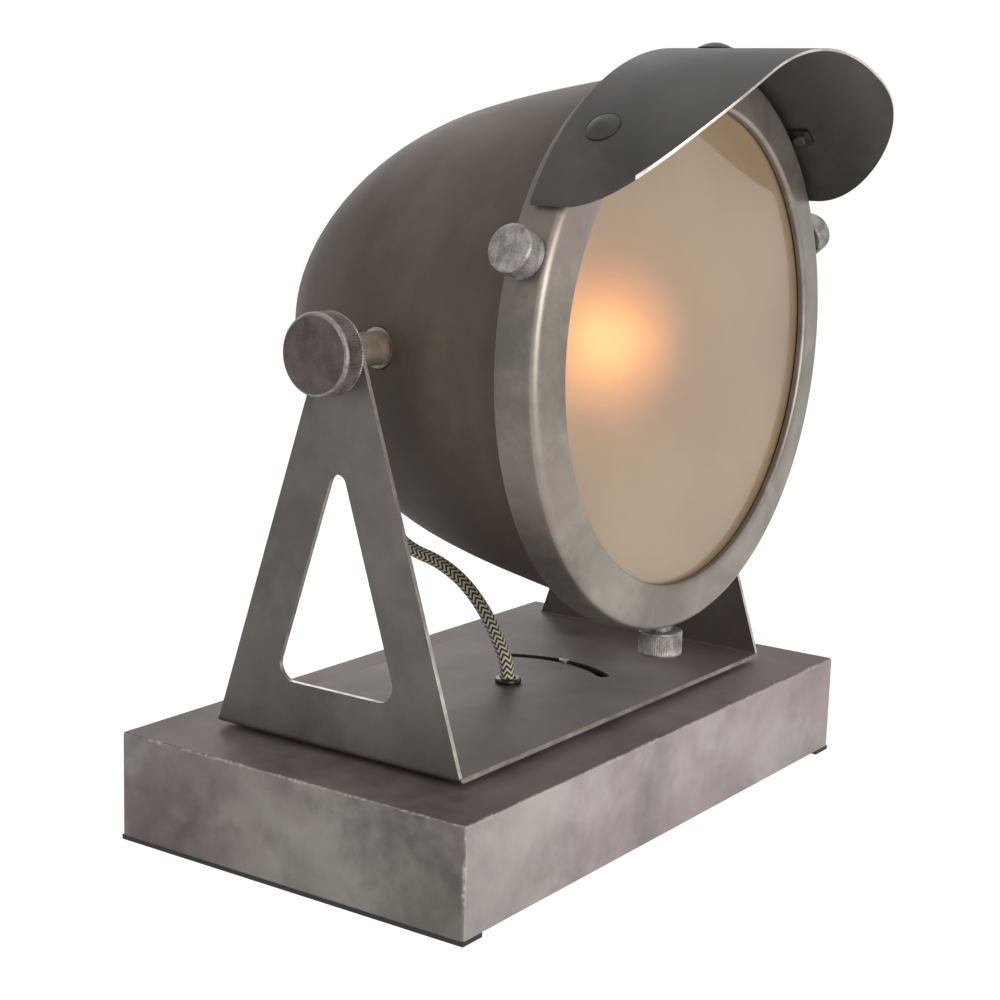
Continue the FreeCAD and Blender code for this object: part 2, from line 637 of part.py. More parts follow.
def pivots():
    """Studs, spacer tubes, washers and nuts that carry the head between the uprights."""
    turns = (((0, 1, 0), "90"), ((0, -1, 0), "90"))

    def pair(label, make):
        node(group(*[place(group(make()), "0", "0", TILT, *turn) for turn in turns]), label)

    bore = "stud_radius + thread_gap"
    washer_face = "(boss_face + pivot_washer_thick)"
    gap = UPRIGHT_INSIDE + " - " + washer_face
    nut_foot = "boss_face - boss_depth - inner_nut_thick"
    pair("pivot_studs", lambda: cylinder("stud_radius", "stud_reach - stud_inside", z="stud_inside"))
    pair("pivot_washers", lambda: tube("pivot_washer_radius", bore, "pivot_washer_thick", z="boss_face"))
    pair("spacer_tubes", lambda: tube("spacer_radius", bore, gap, z=washer_face))
    pair("inner_nuts", lambda: cut(hexagon("inner_nut_radius", "inner_nut_thick", z=nut_foot),
                                   cylinder(bore, "inner_nut_thick", z=nut_foot)))
    pair("knob_washers", lambda: tube("knob_neck_radius", "stud_radius + running_gap * 2",
                                      "knob_washer_thick", z="bracket_width / 2"))


def tilt_knob(side, angle):
    """Turned knob on the end of a pivot stud."""
    owner = body("tilt_knob_" + side)
    profile = sketch(owner, "XZ_Plane")
    bore = "stud_radius + running_gap"
    seat = "bracket_width / 2 + knob_washer_thick"
    head = "knob_face - knob_thick"
    floor = "stud_reach + knob_bore_gap"
    outline(profile, [
        (seat, bore), (seat, "knob_neck_radius"), (head, "knob_neck_radius"),
        (head, "knob_radius - knob_chamfer"), (head + " + knob_chamfer", "knob_radius"),
        ("knob_face - knob_chamfer", "knob_radius"), ("knob_face", "knob_radius - knob_chamfer"),
        ("knob_face", "0"), (floor, "0"), (floor, bore)])
    revolve(owner, profile, "H_Axis")
    place(owner, "0", "0", TILT, (0, 0, 1), angle)


def thumbscrew(side, turn):
    """Knurled screw that clamps the bezel's skirt to the collar."""
    owner = body("thumbscrew_" + side)
    profile = sketch(owner, "XZ_Plane")
    foot = COLLAR_INSIDE + " - insert_thick - thumb_tail"
    seat = "ring_radius + thumb_seat_gap"
    head = "thumb_outer - thumb_thick"
    outline(profile, [
        ("0", foot), ("thumb_shank", foot), ("thumb_shank", seat),
        ("thumb_neck", seat), ("thumb_neck", head),
        ("thumb_radius - knob_chamfer / 2", head), ("thumb_radius", head + " + knob_chamfer / 2"),
        ("thumb_radius", "thumb_outer - knob_chamfer"), ("thumb_radius - knob_chamfer", "thumb_outer"),
        ("0", "thumb_outer")])
    revolve(owner, profile, "V_Axis")
    place(owner, "0", "-thumb_place", TILT, *turn)


def thumb_inserts():
    """Three nuts fixed inside the collar, which the thumbscrews run in."""
    foot = COLLAR_INSIDE + " - insert_thick - insert_gap"
    nut = cut(hexagon("insert_half", "insert_thick", "0", "-thumb_place", foot),
              cylinder("thumb_shank + running_gap", "insert_thick", "0", "-thumb_place", foot))
    node(group(*[around(turn, nut) for turn in THUMB_TURNS.values()]), "thumbscrew_nuts")


def lamp_inside():
    """Bushing for the cord, the plate across the dome, the lampholder and the bulb."""
    inner_lip = "(-head_wall - bush_seat)"
    stem = on_dome("bush_radius", inner_lip, "head_wall + bush_seat")
    skirt = on_dome("bush_flange", "0", "bush_flange_thick")
    lip = on_dome("bush_flange", "(-head_wall - bush_seat - bush_lip)", "bush_lip")
    bore = on_dome("bush_bore", "(-head_wall - bush_seat - bush_lip)",
                   "head_wall + bush_seat + bush_lip + bush_flange_thick")
    node(cut(fuse(stem, skirt, lip), bore), "housing_bushing")

    wall_line = "(side_radius - head_wall)"
    step = "(plate_place + plate_thick - %s)" % SIDE_BACK
    rim = "%s + sqrt(%s^2 - %s^2) - plate_gap" % (SIDE_OUT, wall_line, step)
    disc = along(rim, "-plate_place - plate_thick", "-plate_place")
    hub = along("holder_radius + thread_gap", "-plate_place - plate_thick", "-plate_place")
    vents = []
    for turn in range(30, 390, 60):
        x = "vent_circle * cos(%d)" % turn
        z = "tilt_height + vent_circle * sin(%d)" % turn
        vents.append(cylinder("vent_radius", "plate_thick", x, "plate_place + plate_thick", z, ALONG_Y))
    node(cut(disc, hub, *vents), "holder_plate")
    barrel = along("holder_radius", "-holder_rear", "-holder_front")
    flange = along("holder_flange", "-plate_place", "-plate_place + holder_flange_thick")
    socket = along("bulb_cap_radius + running_gap", "-holder_front - holder_depth", "-holder_front")
    node(cut(fuse(barrel, flange), socket), "lampholder")

    owner = body("bulb")
    profile = sketch(owner, "YZ_Plane")
    cap_end = "holder_front + bulb_cap_length"
    cap_front = "holder_front - bulb_cap_proud"
    shoulder_out = "sqrt(bulb_radius^2 - bulb_shoulder^2)"
    outline(profile, [
        (cap_end, "0"), (cap_end, "bulb_cap_radius"), (cap_front, "bulb_cap_radius"),
        ("bulb_shoulder - bulb_centre", shoulder_out, "bulb_radius"), ("-bulb_centre - bulb_radius", "0")])
    revolve(owner, profile, "H_Axis")
    place(owner, z=TILT)


# bezel

def bezel_ring():
    """Spun ring with a rounded face, its skirt notched from the rear for the thumbscrews."""
    owner = body()
    profile = sketch(owner, "YZ_Plane")
    lip = "ring_wall"
    inner_round = "(ring_round - ring_wall)"
    outline(profile, [
        ("-ring_rear", "ring_radius"), ("-ring_front + ring_round", "ring_radius", "ring_round"),
        ("-ring_front", "ring_radius - ring_round"), ("-ring_crown", "lens_opening + " + lip, lip),
        ("-ring_crown + " + lip, "lens_opening"), ("-" + FACE_INSIDE, "lens_opening"),
        ("-" + FACE_INSIDE, RING_INSIDE + " - " + inner_round, "-(ring_round - ring_wall)"),
        ("-" + FACE_INSIDE + " + " + inner_round, RING_INSIDE), ("-ring_rear", RING_INSIDE)])
    revolve(owner, profile, "H_Axis")
    place(owner, z=TILT)
    half = "(thumb_shank + notch_gap)"
    low = RING_INSIDE + " - over"
    tall = "ring_wall + over * 2"
    run = "thumb_place - ring_rear + over"
    end = cylinder(half, tall, "0", "-thumb_place", low)
    slit = box(half + " * 2", run, tall, "0", "-thumb_place + (%s) / 2" % run, low)
    node(cut(owner, *[around(turn, end, slit) for turn in THUMB_TURNS.values()]), "bezel_ring")


def lens_parts():
    """Frosted glass, its gasket and the clips behind it."""
    node(along("lens_radius", LENS_REAR, LENS_FRONT), "lens_glass")
    node(cut(along("lens_radius", LENS_FRONT, FACE_INSIDE),
             along("lens_opening + 1", LENS_FRONT, FACE_INSIDE)), "lens_gasket")
    depth = FACE_INSIDE + " - " + LENS_REAR + " + clip_thick"
    back = LENS_REAR + " - clip_thick"
    leg = box("clip_width", depth, "clip_thick", "0", "-(%s) - (%s) / 2" % (back, depth),
              "clip_outer - clip_thick")
    low = "(lens_radius - clip_reach)"
    tab = box("clip_width", "clip_thick", "clip_outer - " + low, "0",
              "-(%s) - clip_thick / 2" % back, low)
    clip = fuse(leg, tab)
    node(group(*[around(turn, clip) for turn in CLIP_TURNS]), "lens_clips")


def visor():
    """Curved sheet hood with large rounded front corners."""
    owner = body()
    profile = sketch(owner, "YZ_Plane")
    rectangle(profile, "-visor_front - over", "visor_radius", "-visor_rear", "visor_radius + visor_wall")
    feature(owner, "Revolution", profile, ReferenceAxis=(profile, ["H_Axis"]),
            Angle="visor_half_angle * 2", Midplane=True)
    trim = sketch(owner, "XY_Plane")
    half = "((visor_radius + visor_wall) * sin(visor_half_angle) + visor_spare)"
    beside = "(%s + visor_corner)" % half
    corner_y = "-visor_front + visor_corner"
    rectangle(trim, "-" + beside, "-visor_front - visor_corner", beside, "-visor_rear + over * 2")
    outline(trim, [
        ("-" + half, "-visor_rear + over"), ("-" + half, corner_y, "visor_corner"),
        ("-%s + visor_corner" % half, "-visor_front"),
        (half + " - visor_corner", "-visor_front", "visor_corner"), (half, corner_y),
        (half, "-visor_rear + over")])
    before = owner.Shape.Volume
    feature(owner, "Pocket", trim, Length="visor_radius * 2", Reversed=True)
    assert owner.Shape.Volume < before - LEAST_CUT
    place(owner, z=TILT)
    drill = cylinder("rivet_shank + thread_gap", "visor_wall + over * 2", "0", "-rivet_place",
                     "visor_radius - over")
    node(cut(owner, *[around(turn, drill) for turn in RIVET_TURNS]), "visor")


def visor_fixings():
    """Three straps that carry the visor off the ring, and their domed rivets."""
    strap_in = "ring_radius + strap_gap"
    strap_out = "visor_radius - strap_gap"
    length = "strap_front - thumb_place"
    shell = cut(cylinder(strap_out, length, "0", "-thumb_place", "0", ALONG_Y),
                cylinder(strap_in, length, "0", "-thumb_place", "0", ALONG_Y))
    block = box("strap_width", "strap_block", "visor_radius * 2", "0", "-thumb_place", "0")
    drill = cylinder("rivet_shank + thread_gap", "over * 6", "0", "-rivet_place",
                     "visor_radius - over * 3")
    strap = cut(common(shell, block), drill)
    node(group(*[around(turn, strap) for turn in RIVET_TURNS]), "visor_straps")
    top = "visor_radius + visor_wall"
    foot = "ring_radius + strap_gap - rivet_sink"
    cap_ball = "((rivet_radius^2 + rivet_dome^2) / (2 * rivet_dome))"
    ball = sphere(cap_ball, "0", "-rivet_place", top + " + rivet_dome - " + cap_ball)
    head = common(ball, cylinder("rivet_radius + over", "rivet_dome + over", "0", "-rivet_place",
                                 top + " + rivet_seat"))
    shank = cylinder("rivet_shank", "%s + rivet_dome / 2 - (%s)" % (top, foot), "0", "-rivet_place", foot)
    tail = cylinder("rivet_tail", "rivet_tail_thick", "0", "-rivet_place", foot)
    rivet = fuse(head, shank, tail)
    node(group(*[around(turn, rivet) for turn in RIVET_TURNS]), "visor_rivets")


# cord and leads

# share of the shorter run that a corner's arc takes at each side, and how far a tube's
# volume may be from its section times its length
CORNER_SHARE = 0.45
TUBE_SLACK = 0.02


def bent_tube(label, radius, route):
    """A tube on straight runs joined by tangent arcs; prints its radii and checks its volume."""
    points = [FreeCAD.Vector(*spot) for spot in route]
    pieces = []
    radii = []
    start = points[0]
    for before, corner, after in zip(points, points[1:], points[2:]):
        back = before - corner
        ahead = after - corner
        shorter = min(back.Length, ahead.Length)
        half_turn = (math.pi - back.getAngle(ahead)) / 2
        tangent = CORNER_SHARE * shorter
        bend = tangent / math.tan(half_turn)
        radii.append(round(bend, 1))
        back.normalize()
        ahead.normalize()
        enter = corner + back * tangent
        leave = corner + ahead * tangent
        inward = back + ahead
        inward.normalize()
        middle = corner + inward * (bend / math.cos(half_turn) - bend)
        pieces.append(Part.LineSegment(start, enter).toShape())
        pieces.append(Part.Arc(enter, middle, leave).toShape())
        start = leave
    pieces.append(Part.LineSegment(start, points[-1]).toShape())
    path = Part.Wire(pieces)
    ring = Part.Wire(Part.Circle(points[0], points[1] - points[0], radius).toShape())
    item = doc.addObject("Part::Feature", label)
    item.Shape = path.makePipeShell([ring], True, False)
    print(label, "radii", radii, "length", round(path.Length, 1))
    assert abs(item.Shape.Volume / (math.pi * radius * radius * path.Length) - 1) < TUBE_SLACK
    return item


# the cord's route from the bracket's bushing up and back into the dome, as (back, height)
CORD_ROUTE = [(0, 45), (0, 56.5), (5, 66.5), (13, 79.5), (25, 91.3), (39.5, 98.6), (54, 101.3),
              (64.5, 107), (70.5, 118.5), (70.4, 132.1), (65.2, 145.1)]
# leads of one core each, from the cord's ends to the terminal block and to the lampholder
BASE_LEAD = [(0, 44.4), (-0.5, 36), (-2, 28.5), (-9, 22.8), (-20, 21), (-30, 22.8), (-39.6, 23.5)]
HEAD_LEAD = [(64.9, 145.9), (63.5, 156), (68, 168), (78, 180), (86, 190), (81, 200), (68.4, 203)]
# how far each lead runs beside the cord's middle line
LEAD_SIDE = 1.4


def cords():
    """The textile cord between bracket and head, and the two leads at each of its ends."""
    route = [(0, back, up) for back, up in CORD_ROUTE]
    node(bent_tube("head_cord", num("cord_radius"), route), "head_cord")
    base_pair = []
    head_pair = []
    for side in (-LEAD_SIDE, LEAD_SIDE):
        base_route = [(x, side, up) for x, up in BASE_LEAD]
        base_pair.append(bent_tube("base_lead", num("lead_radius"), base_route))
        head_route = [(side, back, up) for back, up in HEAD_LEAD]
        head_pair.append(bent_tube("head_lead", num("lead_radius"), head_route))
    node(group(*base_pair), "base_leads")
    node(group(*head_pair), "head_leads")


base_shell()
base_cover()
cover_screws()
feet()
ballast()
guide_pin()
cable_inlet()
terminals()
bracket()
swivel_parts()
housing()
pivots()
tilt_knob("right", "0")
tilt_knob("left", "180")
for side, turn in THUMB_TURNS.items():
    thumbscrew(side, turn)
thumb_inserts()
lamp_inside()
bezel_ring()
lens_parts()
visor()
visor_fixings()
cords()
doc.recompute()

for item in doc.Objects:
    if any(state in ("Invalid", "Error") for state in item.State):
        raise RuntimeError("failed: %s %s" % (item.Name, item.Label))
for item in NODES:
    if item.Shape.isNull() or not item.Shape.isValid() or not item.Shape.Solids:
        raise RuntimeError("bad shape: " + item.Label)

os.makedirs("parts", exist_ok=True)
for item in NODES:
    item.Shape.exportStep("parts/%s.step" % item.Label)
    print(item.Label, len(item.Shape.Solids), round(item.Shape.Volume))
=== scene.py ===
import bpy
import json
import math
from mathutils import Matrix, Vector

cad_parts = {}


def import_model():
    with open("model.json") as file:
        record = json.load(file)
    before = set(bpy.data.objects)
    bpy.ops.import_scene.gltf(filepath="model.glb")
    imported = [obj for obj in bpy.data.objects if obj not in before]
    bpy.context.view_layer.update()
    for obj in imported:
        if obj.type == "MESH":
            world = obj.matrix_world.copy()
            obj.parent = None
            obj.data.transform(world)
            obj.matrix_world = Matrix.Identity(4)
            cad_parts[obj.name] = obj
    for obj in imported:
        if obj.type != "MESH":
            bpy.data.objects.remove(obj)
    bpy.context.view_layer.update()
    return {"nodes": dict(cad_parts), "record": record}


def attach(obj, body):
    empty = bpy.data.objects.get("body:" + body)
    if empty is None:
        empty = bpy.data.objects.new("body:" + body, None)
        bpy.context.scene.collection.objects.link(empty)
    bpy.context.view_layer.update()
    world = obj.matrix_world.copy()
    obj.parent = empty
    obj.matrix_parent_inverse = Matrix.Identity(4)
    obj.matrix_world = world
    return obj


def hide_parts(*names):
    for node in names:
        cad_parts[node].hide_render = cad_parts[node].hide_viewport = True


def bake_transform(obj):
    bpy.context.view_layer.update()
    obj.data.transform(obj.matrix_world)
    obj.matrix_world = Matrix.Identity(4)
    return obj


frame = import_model()

# Tabletop searchlight lamp. Metres, +Z up, the lens faces -Y, the pan axis is Z.
# Profiles of turned pieces are pairs of radius and height in millimetres.

MM = 0.001
TILT = 0.205
HEAD = (0, 0, TILT)
UP = (0, 0, 1)
FORWARD = (0, -1, 0)
SIDES = (-1, 1)

BLOCK_END = 0.150
BLOCK_SIDE = 0.086
BLOCK_TOP = 0.0455
BLOCK_FOOT = 0.002


# camera

CAMERA_PLACE = (-0.68456, -0.46490, 0.28756)
CAMERA_YAW = math.radians(55.402)
CAMERA_PITCH = math.radians(10.674)
CAMERA_ROLL = math.radians(1.779)
CAMERA_LENS = 69.84
CAMERA_SENSOR = 36
CAMERA_NEAR = 0.05

look = Vector((math.sin(CAMERA_YAW) * math.cos(CAMERA_PITCH),
               math.cos(CAMERA_YAW) * math.cos(CAMERA_PITCH), -math.sin(CAMERA_PITCH)))
level_right = look.cross(Vector(UP)).normalized()
level_up = level_right.cross(look)
right = level_right * math.cos(CAMERA_ROLL) + level_up * math.sin(CAMERA_ROLL)
upward = level_up * math.cos(CAMERA_ROLL) - level_right * math.sin(CAMERA_ROLL)
turn = Matrix((right, upward, -look)).transposed().to_4x4()
camera = bpy.data.objects.new("camera", bpy.data.cameras.new("camera"))
camera.data.lens = CAMERA_LENS
camera.data.sensor_width = CAMERA_SENSOR
camera.data.clip_start = CAMERA_NEAR
camera.matrix_world = Matrix.Translation(CAMERA_PLACE) @ turn
bpy.context.scene.collection.objects.link(camera)
bpy.context.scene.camera = camera
bpy.context.scene.view_settings.view_transform = "Standard"


# finishes

def tone(red, green, blue):
    """A colour as it is seen, 0 to 255, turned into the linear values that a shader takes."""
    def linear(value):
        value /= 255
        return value / 12.92 if value <= 0.04045 else ((value + 0.055) / 1.055) ** 2.4
    return (linear(red), linear(green), linear(blue), 1)


class Wire:
    """One socket of a finish. Sums written on it add their Math nodes."""

    def __init__(self, finish, socket):
        self.finish = finish
        self.socket = socket

    def maths(self, operation, *others):
        """A Math node with this wire in its first socket and the others after it."""
        return self.finish.maths(operation, self, *others)

    def __add__(self, other):
        return self.maths("ADD", other)

    __radd__ = __add__

    def __sub__(self, other):
        return self.maths("SUBTRACT", other)

    def __rsub__(self, other):
        return self.finish.maths("SUBTRACT", other, self)

    def __mul__(self, other):
        return self.maths("MULTIPLY", other)

    __rmul__ = __mul__

    def __truediv__(self, other):
        return self.maths("DIVIDE", other)

    def clipped(self):
        return self.finish.node("ShaderNodeClamp", {}, {"Value": self})

    def between(self, low, high):
        """0 below low, 1 above high and smooth from one to the other."""
        return self.finish.node("ShaderNodeMapRange", {"interpolation_type": "SMOOTHSTEP"},
                                {"Value": self, "From Min": low, "From Max": high})


class Finish:
    """A procedural finish built on one shader, of a new material or of the world."""

    def __init__(self, name, owner=None, shader="Principled BSDF", end="Material Output"):
        self.owner = owner or bpy.data.materials.new(name)
        self.owner.use_nodes = True
        self.tree = self.owner.node_tree
        self.shader = self.tree.nodes[shader]
        self.end = self.tree.nodes[end]

    def node(self, kind, settings, sockets, output=0):
        """Add a node: its settings first, then the values or wires of its sockets."""
        made = self.tree.nodes.new(kind)
        for key, value in settings.items():
            setattr(made, key, value)
        for key, value in sockets.items():
            self.feed(made.inputs[key], value)
        return Wire(self, made.outputs[output])

    def feed(self, socket, value):
        if isinstance(value, Wire):
            self.tree.links.new(value.socket, socket)
        else:
            socket.default_value = value

    def shade(self, **sockets):
        for key, value in sockets.items():
            self.feed(self.shader.inputs[key.replace("_", " ")], value)

    def maths(self, operation, *values):
        return self.node("ShaderNodeMath", {"operation": operation}, dict(enumerate(values)))

    def outputs(self, kind, **sockets):
        """Add a node and give a wire for each of its outputs, by its name."""
        self.node(kind, {}, sockets)
        return {socket.name: Wire(self, socket) for socket in self.tree.nodes[-1].outputs}

    def axes(self, place):
        return self.outputs("ShaderNodeSeparateXYZ", Vector=place).values()

    def object_place(self):
        return self.node("ShaderNodeTexCoord", {}, {}, "Object")

    def stretched(self, where, x, y, z):
        return self.node("ShaderNodeMapping", {}, {"Vector": where, "Scale": (x, y, z)})

    def clouds(self, where, scale, detail=3.0, rough=0.5, warp=0.0):
        return self.node("ShaderNodeTexNoise", {}, {
            "Vector": where, "Scale": scale, "Detail": detail, "Roughness": rough,
            "Distortion": warp})

    def blend(self, share, first, second):
        return self.node("ShaderNodeMix", {"data_type": "RGBA"},
                         {0: share, 6: first, 7: second}, 2)

    def bumps(self, height, strength, distance):
        return self.node("ShaderNodeBump", {}, {
            "Height": height, "Strength": strength, "Distance": distance})

    def white_where_seen(self, share, unseen, white):
        """End in white where the camera, a mirror or glass looks at it, by a share from 0 to 1."""
        rays = self.outputs("ShaderNodeLightPath")
        seen = rays["Is Camera Ray"] + rays["Is Glossy Ray"] + rays["Is Transmission Ray"]
        mixed = self.node("ShaderNodeMixShader", {},
                          {0: seen.clipped() * share, 1: unseen, 2: white})
        self.feed(self.end.inputs["Surface"], mixed)


# how high each noise has to rise before it begins to show and where it shows in full
CLOUDED = (0.34, 0.66)
TINTED = (0.50, 0.68)
SPECKED = (0.52, 0.75)
MOTTLED = (0.35, 0.65)
HAZED = (0.3, 0.7)

RUBBED = tone(196, 186, 176)
# the black of painted shadow
PAINTED_SHADOW_BLACK = tone(9, 8, 7)


def patina(name, tones, rough, metal, cloud=16.0, lie=(1, 1, 1), speck=0.10, grain=900.0,
           relief=0.05, gloss=0.5, wear=None, painted_shadow=None):
    """Aged metal: soft clouds from dark to light, violet and greenish tints, fine specks and
    relief. tones are dark, light, violet and green. wear gives where rubbed metal shows, and the
    last argument where a painted shadow lies black over the colour, from the finish and the place."""
    dark, light, violet, green = [tone(*colour) for colour in tones]
    finish = Finish(name)
    where = finish.object_place()
    laid = finish.stretched(where, *lie)
    broad = finish.clouds(laid, cloud, 3.0, 0.55, 0.4)
    small = finish.clouds(where, cloud * 7, 4.0, 0.6)
    tint = finish.clouds(laid, cloud * 0.7, 2.0, 0.5, 0.6)
    fine = finish.clouds(where, grain, 2.0, 0.6)
    shade = broad * 0.75 + small * 0.25
    colour = finish.blend(shade.between(*CLOUDED), dark, light)
    colour = finish.blend(tint.between(*TINTED) * 0.5, colour, violet)
    colour = finish.blend((1 - tint).between(*TINTED) * 0.45, colour, green)
    colour = finish.blend(fine.between(*SPECKED) * speck, colour, light)
    colour = finish.blend((1 - fine).between(*SPECKED) * speck, colour, dark)
    surface = small * 0.16 + (rough - 0.08)
    if wear:
        rubbed = wear(finish, where)
        colour = finish.blend(rubbed, colour, RUBBED)
        surface = surface - rubbed * 0.1
    # painted shadow: black laid over the colour where the place lies in shade
    if painted_shadow:
        colour = finish.blend(painted_shadow(finish, where), colour, PAINTED_SHADOW_BLACK)
    finish.shade(Base_Color=colour, Metallic=metal, Roughness=surface.clipped(),
                 Specular_IOR_Level=gloss,
                 Normal=finish.bumps(fine * 0.6 + small * 0.4, relief, 0.0004))
    return finish.owner


def plain(name, first, second, rough, metal=0.0, scale=300.0, relief=0.1):
    """A moulded, rubber or bright metal finish with a fine mottle."""
    finish = Finish(name)
    where = finish.object_place()
    mottle = finish.clouds(where, scale, 4.0, 0.6)
    colour = finish.blend(mottle.between(*MOTTLED), tone(*first), tone(*second))
    finish.shade(Base_Color=colour, Metallic=metal,
                 Roughness=(mottle * 0.2 + (rough - 0.1)).clipped(),
                 Normal=finish.bumps(mottle, relief, 0.0002))
    return finish.owner


WORN_LEAST = 0.0005
WORN_MORE = 0.0012


def block_wear(finish, where):
    """Rubbed metal along the block's edges, in patches."""
    x, y, z = finish.axes(where)
    from_end = BLOCK_END - x.maths("ABSOLUTE")
    from_side = BLOCK_SIDE - y.maths("ABSOLUTE")
    from_top = BLOCK_TOP - z
    low = from_end.maths("MINIMUM", from_side)
    high = from_end.maths("MAXIMUM", from_side)
    from_edge = low.maths("MAXIMUM", high.maths("MINIMUM", from_top))
    patches = finish.clouds(where, 60.0, 4.0, 0.65)
    chips = finish.clouds(where, 420.0, 3.0, 0.6)
    reach = patches.between(0.42, 0.66) * WORN_MORE + WORN_LEAST
    edge = (1 - from_edge / reach).clipped()
    return (edge * (chips.between(0.36, 0.62) * 0.8 + 0.15)).clipped()


# squares of the radii, in square metres, from which the painted shadow fades and where it ends
SHADOW_FADES = (0.0030, 0.0034)


def shadow_under_plate(finish, where):
    """A painted shadow, black round the swivel under the plate, seen only through the bracket's
    slot.
    """
    x, y, _ = finish.axes(where)
    square = x * x + y * y
    return 1 - square.between(*SHADOW_FADES)


SHEET = {"cloud": 15.0, "speck": 0.06, "relief": 0.03}
CLADDING = {"speck": 0.06, "wear": block_wear}

block_metal = patina(
    "block_metal", [(137, 127, 125), (178, 168, 165), (156, 142, 145), (156, 152, 146)],
    rough=0.64, metal=0.1, cloud=15.0, lie=(1, 1, 1.2), gloss=0.12, **CLADDING)
# a darker, greener copy for the left end: partly its own patina, partly painted shade
block_end_patina_and_shade = patina(
    "block_end_patina_and_shade", [(93, 89, 84), (152, 147, 140), (124, 107, 107), (118, 119, 109)],
    rough=0.60, metal=0.1, cloud=17.0, lie=(1, 1, 1.2), gloss=0.15, **CLADDING)
# a darker copy of the cladding's finish for the top faces: painted shade, with a painted shadow
# round the swivel
shaded_block_top = patina(
    "shaded_block_top", [(82, 73, 69), (118, 107, 103), (104, 88, 88), (92, 88, 80)],
    rough=0.55, metal=0.2, cloud=15.0, gloss=0.25, painted_shadow=shadow_under_plate, **CLADDING)
cover_metal = patina(
    "cover_metal", [(96, 92, 88), (140, 135, 130), (116, 104, 106), (112, 112, 104)],
    rough=0.5, metal=0.7)
housing_metal = patina(
    "housing_metal", [(82, 72, 65), (113, 101, 92), (101, 86, 83), (92, 84, 72)],
    rough=0.60, metal=0.22, cloud=11.0, lie=(1.2, 1.2, 0.35), speck=0.05, relief=0.03, gloss=0.15)
# a darker copy of the ring's finish for its sideways skirt: painted shade
shaded_ring_skirt = patina(
    "shaded_ring_skirt", [(94, 90, 83), (129, 122, 114), (113, 103, 98), (104, 105, 93)],
    rough=0.46, metal=0.5, cloud=22.0, relief=0.04, gloss=0.3)
ring_metal = patina(
    "ring_metal", [(112, 106, 97), (152, 143, 134), (134, 119, 114), (120, 120, 105)],
    rough=0.40, metal=0.7, cloud=22.0, relief=0.04)
bracket_metal = patina(
    "bracket_metal", [(80, 76, 71), (108, 103, 97), (96, 86, 84), (86, 86, 78)],
    rough=0.50, metal=0.35, gloss=0.35, **SHEET)
# a darker copy of the bracket's finish for the uprights' inner faces: painted shade
shaded_bracket_inner = patina(
    "shaded_bracket_inner", [(56, 50, 46), (82, 75, 70), (72, 61, 61), (64, 62, 55)],
    rough=0.55, metal=0.2, gloss=0.2, **SHEET)
bracket_foot = patina(
    "bracket_foot", [(76, 68, 64), (110, 100, 96), (104, 87, 88), (88, 81, 74)],
    rough=0.50, metal=0.3, gloss=0.3, **SHEET)
visor_metal = patina(
    "visor_metal", [(50, 47, 43), (74, 70, 66), (66, 59, 59), (58, 57, 51)],
    rough=0.48, metal=0.4, gloss=0.4, **SHEET)
cut_edge = patina(
    "cut_edge", [(160, 151, 142), (214, 205, 195), (182, 170, 163), (174, 169, 157)],
    rough=0.38, metal=0.7, cloud=90.0, speck=0.2)
# near-black painted shadow for the walls of the bracket's slot
painted_slot_shadow = plain("painted_slot_shadow", (12, 11, 10), (26, 23, 21), rough=0.7)
knob_face = patina(
    "knob_face", [(54, 46, 44), (90, 79, 76), (77, 61, 63), (72, 65, 60)],
    rough=0.52, metal=0.3, cloud=120.0, speck=0.5, grain=1500.0, relief=0.35)
knob_rim = patina(
    "knob_rim", [(88, 80, 78), (148, 138, 134), (118, 100, 102), (112, 106, 98)],
    rough=0.46, metal=0.7, cloud=130.0, speck=0.4, grain=1500.0, relief=0.3)
thumb_face = patina(
    "thumb_face", [(100, 96, 92), (160, 154, 148), (122, 112, 112), (128, 128, 118)],
    rough=0.48, metal=0.65, cloud=200.0, speck=0.5, grain=1400.0, relief=0.35)
ballast_iron = plain("ballast_iron", (60, 58, 56), (96, 92, 88),
                     rough=0.7, metal=0.6, scale=80.0, relief=0.3)
black_rubber = plain("black_rubber", (7, 7, 6), (17, 16, 15),
                     rough=0.66, scale=500.0, relief=0.15)
black_plastic = plain("black_plastic", (18, 17, 17), (34, 32, 31), rough=0.42, scale=400.0)
gloss_black = plain("gloss_black", (14, 12, 12), (30, 26, 24), rough=0.24, relief=0.05)
white_plastic = plain("white_plastic", (214, 208, 196), (232, 228, 218), rough=0.38, scale=200.0)
steel_fixing = plain("steel_fixing", (150, 148, 144), (196, 194, 190),
                     rough=0.32, metal=1.0, scale=500.0)
brass_fixing = plain("brass_fixing", (176, 140, 70), (208, 174, 104),
                     rough=0.32, metal=1.0, scale=500.0)
nickel_fitting = plain("nickel_fitting", (138, 130, 114), (166, 157, 140),
                       rough=0.36, metal=0.5, scale=90.0, relief=0.05)
lead_sheath = plain("lead_sheath", (92, 60, 38), (116, 80, 52), rough=0.5, scale=400.0)

BULB_HAZE = 6.5
BULB_CORE = 26.0
ZIGZAGS = 5
ROWS_PER_METRE = 400
ROW_SLOPE = 1.7
PLIES = 60


def frosted():
    """Warm glass, sanded behind and polished in front, so that the bulb shows as a soft glow."""
    finish = Finish("frosted_glass")
    where = finish.object_place()
    haze = finish.clouds(where, 14.0, 3.0, 0.5)
    colour = finish.blend(haze.between(*HAZED), tone(182, 154, 119), tone(194, 168, 132))
    finish.shade(Base_Color=colour, Roughness=0.40, Transmission_Weight=0.55, IOR=1.46,
                 Coat_Weight=0.8, Coat_Roughness=0.05)
    return finish.owner


